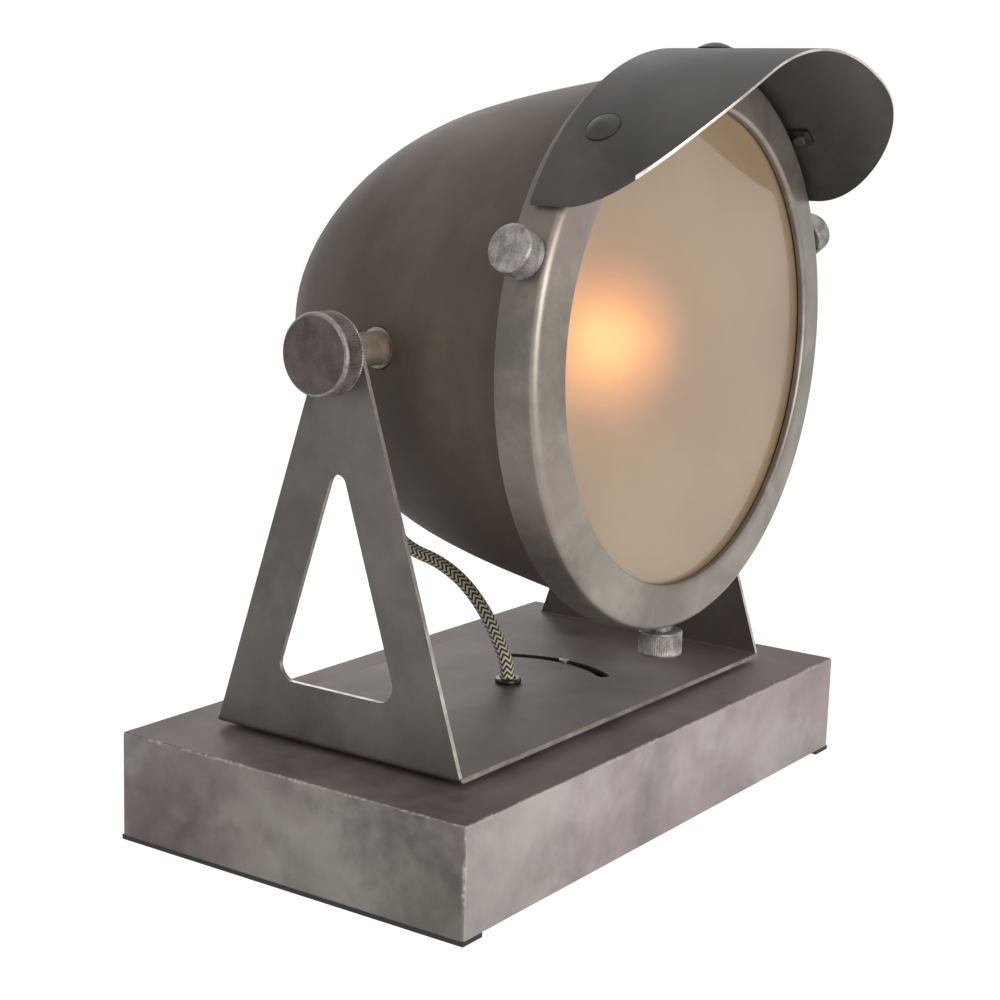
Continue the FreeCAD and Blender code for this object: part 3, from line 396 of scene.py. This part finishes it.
def opal():
    """The bulb's thin glass, faintly lit, which lets its core be seen."""
    finish = Finish("bulb_glass")
    haze = finish.clouds(finish.object_place(), 30.0, 2.0, 0.5)
    glow = finish.blend(haze.between(*HAZED), (1.0, 0.32, 0.12, 1), (1.0, 0.38, 0.15, 1))
    finish.shade(Base_Color=tone(255, 244, 226), Roughness=0.2, Alpha=0.3,
                 Emission_Color=glow, Emission_Strength=BULB_HAZE)
    return finish.owner


def bright_core():
    """The glowing middle of the lit bulb."""
    finish = Finish("bulb_core")
    haze = finish.clouds(finish.object_place(), 60.0, 2.0, 0.5)
    glow = finish.blend(haze.between(*HAZED), (1.0, 0.74, 0.34, 1), (1.0, 0.84, 0.44, 1))
    finish.shade(Base_Color=tone(250, 232, 200), Roughness=0.5,
                 Emission_Color=glow, Emission_Strength=BULB_CORE)
    return finish.owner


def braid():
    """Black and cream yarns in zigzag rows, from the cord's own map: U round it, V along it."""
    finish = Finish("textile_cord")
    across, along, _ = finish.axes(finish.node("ShaderNodeTexCoord", {}, {}, "UV"))
    zigzag = (across * ZIGZAGS).maths("PINGPONG", 0.5)
    phase = (along * ROWS_PER_METRE + zigzag * ROW_SLOPE).maths("FRACT")
    cream = phase.maths("PINGPONG", 0.5).between(0.20, 0.30)
    yarn = finish.clouds(finish.object_place(), 2600.0, 2.0, 0.6)
    light = finish.blend(yarn, tone(196, 182, 150), tone(236, 226, 200))
    dark = finish.blend(yarn, tone(18, 16, 14), tone(48, 43, 38))
    ply = across * PLIES + along * (ROWS_PER_METRE * 3)
    relief = cream * 0.4 + ply.maths("PINGPONG", 0.5) * 0.8 + yarn * 0.3
    finish.shade(Base_Color=finish.blend(cream, dark, light), Roughness=0.85,
                 Normal=finish.bumps(relief, 0.5, 0.0003), Sheen_Weight=0.3)
    return finish.owner


frosted_glass = frosted()
bulb_glass = opal()
bulb_core = bright_core()
textile_cord = braid()

SLOT_FINISHES = {
    "block_metal": block_metal, "cover_metal": cover_metal, "ballast_iron": ballast_iron,
    "black_rubber": black_rubber, "black_plastic": black_plastic, "white_plastic": white_plastic,
    "steel_fixing": steel_fixing, "brass_fixing": brass_fixing, "nickel_fitting": nickel_fitting,
    "bracket_metal": bracket_metal, "housing_metal": housing_metal, "ring_metal": ring_metal,
    "visor_metal": visor_metal, "cast_knob": knob_face, "frosted_glass": frosted_glass,
    "bulb_glass": bulb_glass, "textile_cord": textile_cord, "lead_sheath": lead_sheath,
}
for row in frame["record"]["subparts"]:
    frame["nodes"][row["node"]].material_slots[0].material = SLOT_FINISHES[row["material_slot"]]


# workshop

DOUBLES = 0.000002


def clear():
    """Back to object mode with nothing selected."""
    if bpy.context.object and bpy.context.object.mode != "OBJECT":
        bpy.ops.object.mode_set(mode="OBJECT")
    bpy.ops.object.select_all(action="DESELECT")


def take(piece):
    """Make one piece the selected and active one."""
    clear()
    piece.select_set(True)
    bpy.context.view_layer.objects.active = piece


def called(name):
    """Name the piece that was just made, and its mesh."""
    piece = bpy.context.object
    piece.name = name
    piece.data.name = name
    return piece


def whole(piece):
    """Open a piece in edit mode with all of it selected."""
    take(piece)
    bpy.ops.object.mode_set(mode="EDIT")
    bpy.ops.mesh.select_all(action="SELECT")


def pick(piece, kind, test):
    """Open a piece in edit mode with the points, edges or faces selected that pass a test."""
    take(piece)
    bpy.ops.object.mode_set(mode="EDIT")
    bpy.ops.mesh.select_mode(type=kind)
    bpy.ops.mesh.select_all(action="DESELECT")
    bpy.ops.object.mode_set(mode="OBJECT")
    mesh = piece.data
    if kind == "VERT":
        for point in mesh.vertices:
            point.select = test(point.co)
    elif kind == "EDGE":
        for edge in mesh.edges:
            edge.select = test(*[mesh.vertices[index].co for index in edge.vertices])
    else:
        for face in mesh.polygons:
            face.select = test(face.center, face.normal)
    bpy.ops.object.mode_set(mode="EDIT")


def settle(piece):
    """Put a piece's place, turn and scale into its mesh."""
    take(piece)
    bpy.ops.object.transform_apply(location=True, rotation=True, scale=True)
    return piece


def stand(piece, axis, at):
    """Carry a piece that was made along Z to its axis and place."""
    settle(piece)
    piece.rotation_euler = Vector(axis).to_track_quat("Z", "Y").to_euler()
    piece.location = at
    return settle(piece)


def finish_mesh(piece, angle=30, doubles=True):
    """Merge doubles, turn the faces outwards and smooth all but the sharp edges."""
    whole(piece)
    if doubles:
        bpy.ops.mesh.remove_doubles(threshold=DOUBLES)
    bpy.ops.mesh.normals_make_consistent(inside=False)
    bpy.ops.object.mode_set(mode="OBJECT")
    bpy.ops.object.shade_smooth_by_angle(angle=math.radians(angle))
    return piece


def turned(name, profile, sides):
    """A turned piece: a circle carried ring by ring along a profile of (radius, height).
    Where the profile's last point is its first, the rings close on themselves."""
    clear()
    start = 1 if profile[0][0] == 0 else 0
    radius, height = profile[start]
    bpy.ops.mesh.primitive_circle_add(vertices=sides, radius=radius * MM,
                                      location=(0, 0, height * MM))
    piece = settle(called(name))
    whole(piece)
    for here, there in zip(profile[start:], profile[start + 1:]):
        rise = (there[1] - here[1]) * MM
        bpy.ops.mesh.extrude_region_move(TRANSFORM_OT_translate={"value": (0, 0, rise)})
        if there[0]:
            ratio = there[0] / here[0]
            bpy.ops.transform.resize(value=(ratio, ratio, 1),
                                     center_override=(0, 0, there[1] * MM))
        else:
            bpy.ops.mesh.merge(type="CENTER")
    if start:
        low = height * MM
        size = radius * MM
        pick(piece, "VERT",
             lambda p: abs(p.z - low) < 1e-7 and abs(math.hypot(p.x, p.y) - size) < 1e-6)
        rise = (profile[0][1] - height) * MM
        bpy.ops.mesh.extrude_region_move(TRANSFORM_OT_translate={"value": (0, 0, rise)})
        bpy.ops.mesh.merge(type="CENTER")
    return finish_mesh(piece)


def drill(radius, low, high, sides):
    """A plain round tool to cut with."""
    return turned("tool", [(0, low), (radius, low), (radius, high), (0, high)], sides)


def arc(middle, radius, first, last, steps):
    """Points of an arc in a profile, angles in degrees from the outward direction."""
    spots = []
    for count in range(steps + 1):
        angle = math.radians(first + (last - first) * count / steps)
        spots.append((middle[0] + radius * math.cos(angle), middle[1] + radius * math.sin(angle)))
    return spots


def slab(name, low, high):
    """A block between two corners."""
    clear()
    middle = [(a + b) / 2 for a, b in zip(low, high)]
    size = [b - a for a, b in zip(low, high)]
    bpy.ops.mesh.primitive_cube_add(size=1, location=middle, scale=size)
    return settle(called(name))


def round_edges(piece, width, segments, test):
    """Round the edges whose two ends pass a test."""
    pick(piece, "EDGE", test)
    bpy.ops.mesh.bevel(offset=width, segments=segments)
    bpy.ops.object.mode_set(mode="OBJECT")


def use(piece, kind, **settings):
    """Add a modifier and apply it."""
    take(piece)
    item = piece.modifiers.new(kind.lower(), kind)
    for key, value in settings.items():
        setattr(item, key, value)
    bpy.ops.object.modifier_apply(modifier=item.name)


def carve(piece, *tools, operation="DIFFERENCE"):
    """Take tools away from a piece, or keep what it shares with them, and bin the tools."""
    for tool in tools:
        use(piece, "BOOLEAN", operation=operation, solver="EXACT", object=tool)
        bpy.data.objects.remove(tool)


def soften(piece, width, angle):
    """Round a piece's sharp edges."""
    use(piece, "BEVEL", width=width, segments=2, limit_method="ANGLE",
        angle_limit=math.radians(angle))
    return finish_mesh(piece, 25)


def join(name, *pieces):
    """Join pieces into one mesh."""
    clear()
    for piece in pieces:
        piece.select_set(True)
    bpy.context.view_layer.objects.active = pieces[0]
    bpy.ops.object.join()
    return called(name)


def twin(piece, name):
    """A copy with its own mesh."""
    other = piece.copy()
    other.data = piece.data.copy()
    other.name = name
    bpy.context.scene.collection.objects.link(other)
    return other


def from_node(name, node):
    """A new piece that starts as a bare copy of a CAD node's mesh."""
    mesh = frame["nodes"][node].data.copy()
    mesh.materials.clear()
    piece = bpy.data.objects.new(name, mesh)
    bpy.context.scene.collection.objects.link(piece)
    return piece


def dress(piece, material, body, node):
    """Give a piece its finish in its first slot and its body, and hide the CAD node that it stands
    for.
    """
    if not piece.data.materials:
        piece.data.materials.append(material)
    if body:
        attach(piece, body)
    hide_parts(node)


def paint(piece, material, test):
    """Give the faces that pass a test a further finish."""
    piece.data.materials.append(material)
    index = len(piece.data.materials) - 1
    for face in piece.data.polygons:
        if test(face.center, face.normal):
            face.material_index = index


# cord, its control points those of the part's route

CORD_ROUTE = [(0, 45), (0, 56.5), (5, 66.5), (13, 79.5), (25, 91.3), (39.5, 98.6), (54, 101.3),
              (64.5, 107), (70.5, 118.5), (70.4, 132.1), (65.2, 145.1)]
CORD_RADIUS = 0.003
CORD_SIDES = 28


def cord_path():
    """Points read from the route's own smooth line."""
    line = bpy.data.curves.new("cord_line", "CURVE")
    line.dimensions = "3D"
    line.resolution_u = 20
    spline = line.splines.new("NURBS")
    spline.points.add(len(CORD_ROUTE) - 1)
    for point, (back, up) in zip(spline.points, CORD_ROUTE):
        point.co = (0, back * MM, up * MM, 1)
    spline.order_u = 3
    spline.use_endpoint_u = True
    carrier = bpy.data.objects.new("cord_line", line)
    bpy.context.scene.collection.objects.link(carrier)
    bpy.context.view_layer.update()
    drawn = bpy.data.meshes.new_from_object(carrier)
    path = [vertex.co.copy() for vertex in drawn.vertices]
    bpy.data.objects.remove(carrier)
    bpy.data.meshes.remove(drawn)
    return path


def head_cord():
    """The braided tube, with a map of how far round and how far along each place lies."""
    path = cord_path()
    points = []
    runs = [0.0]
    for count, spot in enumerate(path):
        before = path[max(count - 1, 0)]
        after = path[min(count + 1, len(path) - 1)]
        if count:
            runs.append(runs[-1] + (spot - before).length)
        along = (after - before).normalized()
        side = Vector((1, 0, 0))
        lift = side.cross(along)
        for step in range(CORD_SIDES):
            angle = 2 * math.pi * step / CORD_SIDES
            points.append(spot + (side * math.cos(angle) + lift * math.sin(angle)) * CORD_RADIUS)
    faces = []
    maps = []
    for row in range(len(path) - 1):
        near_ring = row * CORD_SIDES
        far_ring = near_ring + CORD_SIDES
        for step in range(CORD_SIDES):
            after = (step + 1) % CORD_SIDES
            faces.append((near_ring + step, near_ring + after, far_ring + after, far_ring + step))
            near = step / CORD_SIDES
            far = (step + 1) / CORD_SIDES
            maps += [(near, runs[row]), (far, runs[row]),
                     (far, runs[row + 1]), (near, runs[row + 1])]
    last = (len(path) - 1) * CORD_SIDES
    for ring in (range(CORD_SIDES - 1, -1, -1), range(last, last + CORD_SIDES)):
        faces.append(tuple(ring))
        maps += [(0.0, 0.0)] * CORD_SIDES
    mesh = bpy.data.meshes.new("braided_cord")
    mesh.from_pydata(points, [], faces)
    layer = mesh.uv_layers.new(name="cord_map")
    for corner, spot in zip(layer.data, maps):
        corner.uv = spot
    piece = bpy.data.objects.new("braided_cord", mesh)
    bpy.context.scene.collection.objects.link(piece)
    finish_mesh(piece, 40, doubles=False)
    dress(piece, textile_cord, None, "head_cord")
    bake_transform(piece)


head_cord()


# base block

def block():
    """Sheet-clad block, its upright corners and its top edge rounded, open below."""
    piece = slab("base_block", (-BLOCK_END, -BLOCK_SIDE, BLOCK_FOOT),
                 (BLOCK_END, BLOCK_SIDE, BLOCK_TOP))
    round_edges(piece, 0.0016, 5, lambda a, b: abs(a.z - b.z) > 0.01)
    round_edges(piece, 0.0010, 4, lambda a, b: min(a.z, b.z) > BLOCK_TOP - 0.0005)
    pick(piece, "FACE", lambda c, n: n.z < -0.9)
    bpy.ops.mesh.delete(type="FACE")
    bpy.ops.object.mode_set(mode="OBJECT")
    use(piece, "SOLIDIFY", thickness=0.003, offset=-1)
    inlet = stand(drill(6.05, -12, 12, 48), (0, 1, 0), (0, BLOCK_SIDE, 0.022))
    swivel = drill(8.06, 36, 50, 48)
    carve(piece, inlet, swivel)
    finish_mesh(piece)
    piece.data.materials.append(block_metal)
    # painted shade: the top faces take the darker copy of the finish
    paint(piece, shaded_block_top, lambda c, n: n.z > 0.7)
    # the left end faces take the darker, greener copy: partly patina, partly painted shade
    paint(piece, block_end_patina_and_shade, lambda c, n: n.x < -0.7)
    dress(piece, block_metal, "base", "base_shell")


block()


# bracket

# faces of the sheet larger than this, in square metres, are its flats
FLAT_AREA = 0.0002
# past this, to either side, the sheet is an upright, and between them it is the foot
UPRIGHT_FROM = 0.1176
FOLD_TOP = 0.0504
FOOT_TOP = 0.0505
SLOT_REACH = 0.060
# the least share of a face's direction with which it looks along an axis
FACING = 0.75


def is_upright(centre):
    return abs(centre.x) > UPRIGHT_FROM


def is_bracket_cut(centre, normal):
    if is_upright(centre):
        return abs(normal.x) < FACING and (centre.z > FOLD_TOP or abs(normal.y) > 0.7)
    return abs(normal.z) < FACING


def is_slot_wall(centre, normal):
    return (math.hypot(centre.x, centre.y) < SLOT_REACH and abs(normal.z) < FACING
            and centre.z < FOOT_TOP)


def bracket():
    """The folded sheet, with its cut edges rubbed bright, painted shade on the uprights' inner
    faces and a painted shadow in the slot, and the collar round the cord.
    """
    piece = from_node("folded_bracket", "bracket")
    pick(piece, "VERT", lambda p: True)
    bpy.ops.mesh.remove_doubles(threshold=DOUBLES)
    bpy.ops.mesh.dissolve_limited(angle_limit=math.radians(0.6))
    bpy.ops.object.mode_set(mode="OBJECT")
    piece.data.materials.append(bracket_metal)
    soften(piece, 0.00028, 50)
    for face in piece.data.polygons:
        if face.area > FLAT_AREA and max(abs(value) for value in face.normal) > 0.9999:
            face.use_smooth = False
    # painted shade: the uprights' inner faces take the darker copy
    paint(piece, shaded_bracket_inner,
          lambda c, n: is_upright(c) and c.x * n.x < 0 and abs(n.x) > FACING)
    paint(piece, bracket_foot, lambda c, n: not is_upright(c) and abs(n.z) > FACING)
    paint(piece, cut_edge, is_bracket_cut)
    # painted shadow: the slot's walls are near-black
    paint(piece, painted_slot_shadow, is_slot_wall)
    dress(piece, bracket_metal, "bracket", "bracket")
    grommet = turned("cord_collar", [(3.45, 43), (3.45, 51.6)] + arc((4.2, 51.5), 0.75, 170, 90, 4)
                     + arc((4.9, 51.2), 0.95, 80, 0, 5)
                     + [(5.7, 49.85), (4.9, 49.85), (4.9, 43), (3.45, 43)], 48)
    dress(grommet, gloss_black, "bracket", "cord_grommet")


bracket()


# head

# the dome's line, in millimetres: how far back its tail lies, and the radii of its three arcs
TAIL = 103.0
CAP_RADIUS = 71.0
SHOULDER_RADIUS = 160.0
FLANK_RADIUS = 400.0
CAP_SLOPE, SHOULDER_SLOPE, FLANK_SLOPE = [math.radians(angle) for angle in (48, 15, 10)]
CONE_FRONT = 66.5
CONE_STEPS = 6
DOME_SHEET = 1.5
SEAT_RADIUS = 8.6
SEAT_FIT = 8.59
CORD_HOLE_SLOPE = math.radians(39.3)


def dome_line(inset):
    """The dome's profile as (radius, height along the lamp's axis to the front), from the tail."""
    cap_back = TAIL - CAP_RADIUS
    side_back = cap_back + (CAP_RADIUS - SHOULDER_RADIUS) * math.sin(CAP_SLOPE)
    side_out = (CAP_RADIUS - SHOULDER_RADIUS) * math.cos(CAP_SLOPE)
    front_back = side_back + (SHOULDER_RADIUS - FLANK_RADIUS) * math.sin(SHOULDER_SLOPE)
    front_out = side_out + (SHOULDER_RADIUS - FLANK_RADIUS) * math.cos(SHOULDER_SLOPE)
    spots = [(0, -(TAIL - inset))]
    for start, stop, steps, radius, back, out in (
            (math.pi / 2, CAP_SLOPE, 14, CAP_RADIUS, cap_back, 0.0),
            (CAP_SLOPE, SHOULDER_SLOPE, 14, SHOULDER_RADIUS, side_back, side_out),
            (SHOULDER_SLOPE, FLANK_SLOPE, 8, FLANK_RADIUS, front_back, front_out)):
        for count in range(1, steps + 1):
            angle = start + (stop - start) * count / steps
            spots.append((out + (radius - inset) * math.cos(angle),
                          -(back + (radius - inset) * math.sin(angle))))
    radius, height = spots[-1]
    for count in range(1, CONE_STEPS + 1):
        along = height + (CONE_FRONT - height) * count / CONE_STEPS
        spots.append((radius + (along - height) * math.tan(FLANK_SLOPE), along))
    return spots


def on_both_pivots(name, profile):
    """The same turned ring at the left and the right of the tilt axis."""
    return [stand(turned(name, profile, 64), (side, 0, 0), HEAD) for side in SIDES]


def head():
    """Spun dome with its collar, pivot seats, washers and spacer tubes."""
    collar = [(112.7, 68.5), (112.9, 68.9), (112.9, 80.6), (112.6, 81.0), (111.7, 81.0),
              (111.4, 80.7), (111.4, 69.6)]
    profile = dome_line(0.0) + collar + dome_line(DOME_SHEET)[::-1]
    dome = stand(turned("lamp_dome", profile, 180), FORWARD, HEAD)
    tools = []
    for side in SIDES:
        for radius, start in ((SEAT_RADIUS, 0.0965), (SEAT_FIT, 0.0865)):
            tools.append(stand(drill(radius, 0, 20, 64), (side, 0, 0), (side * start, 0, TILT)))
    cord_way = Vector((0, math.sin(CORD_HOLE_SLOPE), -math.cos(CORD_HOLE_SLOPE)))
    tools.append(stand(drill(5.8, -8, 8, 48), cord_way, (0, 0.0672, 0.1407)))
    carve(dome, *tools)
    finish_mesh(dome, 35)
    seats = on_both_pivots("seat", [(4.1, 90.5), (8.5, 90.5), (SEAT_FIT, 90.6), (SEAT_FIT, 96.2),
                                    (8.3, 96.5), (4.1, 96.5), (4.1, 90.5)])
    dome = join("lamp_dome", dome, *seats)
    dress(dome, housing_metal, "head", "housing")

    washers = on_both_pivots("washer", [(4.1, 96.5), (7.8, 96.5), (8.0, 96.7), (8.0, 97.3),
                                        (7.8, 97.5), (4.1, 97.5), (4.1, 96.5)])
    tubes = on_both_pivots("tube", [(4.1, 97.5), (6.3, 97.5), (6.6, 97.8), (6.6, 117.66),
                                    (6.3, 117.96), (4.1, 117.96), (4.1, 97.5)])
    dress(join("pivot_rings", *washers), nickel_fitting, "head", "pivot_washers")
    dress(join("spacers", *tubes), nickel_fitting, "head", "spacer_tubes")


head()


# bezel, lens and visor

THUMB_ANGLE = 70
THUMB_FORWARD = 0.076
RIVET_FORWARD = 0.0882
RIVET_ANGLES = (0, 43, -43)
CORE_RADIUS = 0.012
HOOD_HALF_WIDTH = 101.7 * MM
HOOD_CORNER = 0.052


def carry(piece, angle, forward=0.0):
    """Move a piece that stands at the top of the head forward, and turn it round the lamp's
    axis, degrees to the right."""
    piece.location = (0, -forward, 0)
    settle(piece)
    piece.rotation_euler = (0, math.radians(angle), 0)
    piece.location = HEAD
    return settle(piece)


def bezel():
    """Spun ring with a rounded face and three notches for the thumbscrews, and the lens."""
    outer = [(115.0, 67.75), (115.0, 72), (115.0, 77), (115.0, 81.4)]
    outer += arc((111.0, 81.4), 4.0, 0, 80, 8)[1:]
    crown = [(111.0, 85.42), (107.5, 85.75), (103.0, 86.25), (99.5, 86.62), (97.7, 86.8)]
    lip = arc((97.7, 85.1), 1.7, 90, 180, 6)[1:]
    inner = ([(96.0, 83.7), (111.0, 83.7)] + arc((111.0, 81.4), 2.3, 90, 0, 5)[1:]
             + [(113.3, 67.7), (113.5, 67.5), (114.8, 67.5)])
    profile = outer + crown + lip + inner + [outer[0]]
    ring = stand(turned("bezel_face", profile, 200), FORWARD, HEAD)
    tools = []
    for angle in (THUMB_ANGLE, -THUMB_ANGLE, 180):
        slit = slab("tool", (-0.003, -THUMB_FORWARD, 0.108), (0.003, -0.060, 0.120))
        end = drill(2.999, 108, 120, 32)
        tools += [carry(slit, angle), carry(end, angle, THUMB_FORWARD)]
    carve(ring, *tools)
    finish_mesh(ring, 32)
    ring.data.materials.append(ring_metal)
    # painted shade: the skirt's sideways faces take the darker copy
    paint(ring, shaded_ring_skirt, lambda c, n: abs(n.y) < 0.35)
    dress(ring, ring_metal, "bezel", "bezel_ring")

    pane = [(0, 78.7), (104.7, 78.7), (105.0, 79.0), (105.0, 82.4), (104.7, 82.7), (0, 82.7)]
    glass = stand(turned("lens_pane", pane, 160), FORWARD, HEAD)
    dress(glass, frosted_glass, "bezel", "lens_glass")


bezel()


def bulb():
    """The bulb with its glowing core inside."""
    piece = from_node("lit_bulb", "bulb")
    finish_mesh(piece)
    piece.data.materials.append(bulb_glass)
    clear()
    bpy.ops.mesh.primitive_ico_sphere_add(subdivisions=3, radius=CORE_RADIUS,
                                          location=(0, -0.036, TILT))
    core = settle(called("core"))
    finish_mesh(core, 60)
    core.data.materials.append(bulb_core)
    dress(join("lit_bulb", piece, core), bulb_glass, "bulb", "bulb")


bulb()


def hood():
    """A rolled sheet trimmed to large front corners."""
    sheet = stand(turned("hood", [(117, 72), (118, 72), (118, 138), (117, 138), (117, 72)], 360),
                  FORWARD, HEAD)
    trim = slab("trim", (-HOOD_HALF_WIDTH, -0.138, 0.25), (HOOD_HALF_WIDTH, -0.072, 0.34))
    round_edges(trim, HOOD_CORNER, 40,
                lambda a, b: abs(a.z - b.z) > 0.01 and max(a.y, b.y) < -0.1)
    carve(sheet, trim, operation="INTERSECT")
    soften(sheet, 0.0002, 50)
    sheet.data.materials.clear()
    sheet.data.materials.append(visor_metal)

    def is_cut(centre, normal):
        outward = Vector((centre.x, 0, centre.z - TILT)).normalized()
        return abs(normal.dot(outward)) < 0.95 and normal.y < -0.5
    paint(sheet, cut_edge, is_cut)
    dress(sheet, visor_metal, "bezel", "visor")


def hood_fixings():
    """Three domed rivets with their nuts, and the straps under the hood."""
    cap = 7.0
    rise = 2.3
    top = 120.3
    ball = (cap ** 2 + rise ** 2) / (2 * rise)
    limit = math.degrees(math.asin(6.6 / ball))
    dome = arc((0, top - ball), ball, 90 - limit, 89.0, 8)
    heads = []
    straps = []
    for angle in RIVET_ANGLES:
        rivet = turned("rivet", [(2.4, 113.3), (2.4, 118.02), (6.8, 118.02), (cap, 118.2),
                                 (6.9, 118.45)] + dome + [(0, top)], 48)
        heads.append(carry(rivet, angle, RIVET_FORWARD))
        nut = turned("rivet_nut", [(0, 113.3), (2.3, 113.3), (2.6, 113.6), (2.6, 114.9),
                                   (0, 114.9)], 32)
        heads.append(carry(nut, angle, RIVET_FORWARD))
        strap = slab("strap", (-0.0045, -0.093, 0.1153), (0.0045, -0.076, 0.1167))
        round_edges(strap, 0.0015, 4, lambda a, b: abs(a.z - b.z) > 0.0005)
        straps.append(carry(soften(strap, 0.0002, 40), angle))
    dress(join("hood_rivets", *heads), visor_metal, "bezel", "visor_rivets")
    dress(join("hood_straps", *straps), black_plastic, "bezel", "visor_straps")


hood()
hood_fixings()


# knobs and thumbscrews

def knurl(piece, sides, low, high, least, depth):
    """Draw in every second line of points between two heights, past a least radius."""
    step = 2 * math.pi / sides

    def is_groove(point):
        if not low < point.z < high or math.hypot(point.x, point.y) < least:
            return False
        return round(math.atan2(point.y, point.x) / step) % 2 == 1
    pick(piece, "VERT", is_groove)
    bpy.ops.transform.resize(value=(1 - depth, 1 - depth, 1),
                             center_override=(0, 0, (low + high) / 2))
    bpy.ops.object.mode_set(mode="OBJECT")


def cast_head(name, profile, sides, low, high, least, depth, face_radius, face_height, face, rim):
    """A knurled head: its profile, where its grooves lie, and the middle with its own finish."""
    piece = turned(name, profile, sides)
    knurl(piece, sides, low * MM, high * MM, least * MM, depth)
    take(piece)
    bpy.ops.object.shade_smooth_by_angle(angle=math.radians(28))
    piece.data.materials.append(rim)
    paint(piece, face, lambda c, n: n.z > 0.9 and c.z > face_height * MM
          and math.hypot(c.x, c.y) < face_radius * MM)
    return piece


def tilt_knobs():
    """Cast knobs: a knurled rim, a rounded edge and a mottled face."""
    profile = [(4.06, 121.34), (8.7, 121.34), (9.0, 121.64), (9.0, 124.3), (14.6, 124.3),
               (15.4, 124.7), (16.0, 125.5), (16.0, 125.9), (16.0, 133.3), (16.0, 133.7),
               (15.75, 134.4), (15.3, 134.95), (14.7, 135.25), (14.2, 135.3), (9.0, 135.24),
               (0, 135.2)]
    knob = cast_head("tilt_knob_l", profile, sides=180, low=125.6, high=133.5, least=15.5,
                     depth=0.028, face_radius=14.75, face_height=135.1, face=knob_face,
                     rim=knob_rim)
    other = twin(knob, "tilt_knob_r")
    dress(stand(knob, (-1, 0, 0), HEAD), knob_rim, "tilt_knob_left", "tilt_knob_left")
    dress(stand(other, (1, 0, 0), HEAD), knob_rim, "tilt_knob_right",
          "tilt_knob_right")


def thumbscrews():
    """Cast thumbscrews with a knurled rim over a plain neck."""
    profile = [(2.4, 105.5), (2.4, 115.4), (4.3, 115.4), (4.5, 115.6), (4.5, 117.8), (8.3, 117.8),
               (8.8, 118.1), (9.1, 118.7), (9.1, 119.0), (9.1, 126.8), (9.1, 127.1), (8.8, 127.7),
               (8.3, 128.1), (7.7, 128.3), (4.5, 128.22), (0, 128.2)]
    first = cast_head("clamp_screw_l", profile, sides=120, low=118.8, high=127.0, least=8.9,
                      depth=0.03, face_radius=8.0, face_height=127.9, face=thumb_face,
                      rim=thumb_face)
    others = [twin(first, "clamp_screw_r"), twin(first, "clamp_screw_b")]
    places = (("left", -THUMB_ANGLE), ("right", THUMB_ANGLE), ("bottom", 180))
    for piece, (side, angle) in zip([first] + others, places):
        carry(piece, angle, THUMB_FORWARD)
        dress(piece, thumb_face, "thumbscrew_" + side, "thumbscrew_" + side)


tilt_knobs()
thumbscrews()


# floor and light

FLOOR_SIZE = 30
FLOOR_SHARE = 0.62
FLOOR_WHITE = 1.45
SKY_WHITE = 1.03
SKY_LIGHT = 0.35


def floor():
    """A pale floor that keeps the lamp's shadow and is white elsewhere."""
    clear()
    bpy.ops.mesh.primitive_plane_add(size=FLOOR_SIZE, location=(0, 0, 0))
    sheet = called("studio_floor")
    finish = Finish("studio_floor")
    haze = finish.clouds(finish.object_place(), 2.0, 2.0, 0.5)
    finish.shade(Base_Color=finish.blend(haze, tone(242, 242, 241), tone(246, 246, 245)),
                 Roughness=0.9, Specular_IOR_Level=0.0)
    white = finish.node("ShaderNodeEmission", {}, {"Color": (1, 1, 1, 1), "Strength": FLOOR_WHITE})
    finish.white_where_seen(FLOOR_SHARE, Wire(finish, finish.shader.outputs[0]), white)
    sheet.data.materials.append(finish.owner)


def world():
    """White where it is seen or mirrored, softer as light."""
    sky = Finish("studio", bpy.data.worlds.new("studio"), "Background", "World Output")
    bpy.context.scene.world = sky.owner
    sky.shade(Color=(1, 1, 1, 1), Strength=SKY_WHITE)
    soft = sky.node("ShaderNodeBackground", {},
                    {"Color": (1.0, 0.985, 0.97, 1), "Strength": SKY_LIGHT})
    sky.white_where_seen(1.0, soft, Wire(sky, sky.shader.outputs[0]))


def lamp(name, place, target, width, height, power):
    """A soft rectangular studio lamp."""
    data = bpy.data.lights.new(name, "AREA")
    data.shape = "RECTANGLE"
    data.size = width
    data.size_y = height
    data.energy = power
    light = bpy.data.objects.new(name, data)
    light.location = place
    towards = Vector(target) - Vector(place)
    light.rotation_euler = towards.to_track_quat("-Z", "Y").to_euler()
    bpy.context.scene.collection.objects.link(light)


floor()
world()
lamp("key", (-0.50, -1.10, 0.42), (-0.10, 0, 0.12), width=0.7, height=0.6, power=10.5)
lamp("side", (-1.8, 0.3, 0.55), (0, 0, 0.15), width=0.9, height=0.8, power=2.0)
lamp("top", (0.1, 0.3, 2.0), (0, 0, 0.1), width=1.2, height=1.2, power=5)
lamp("back", (1.2, 1.4, 1.0), (0, 0, 0.15), width=1.0, height=0.8, power=5)
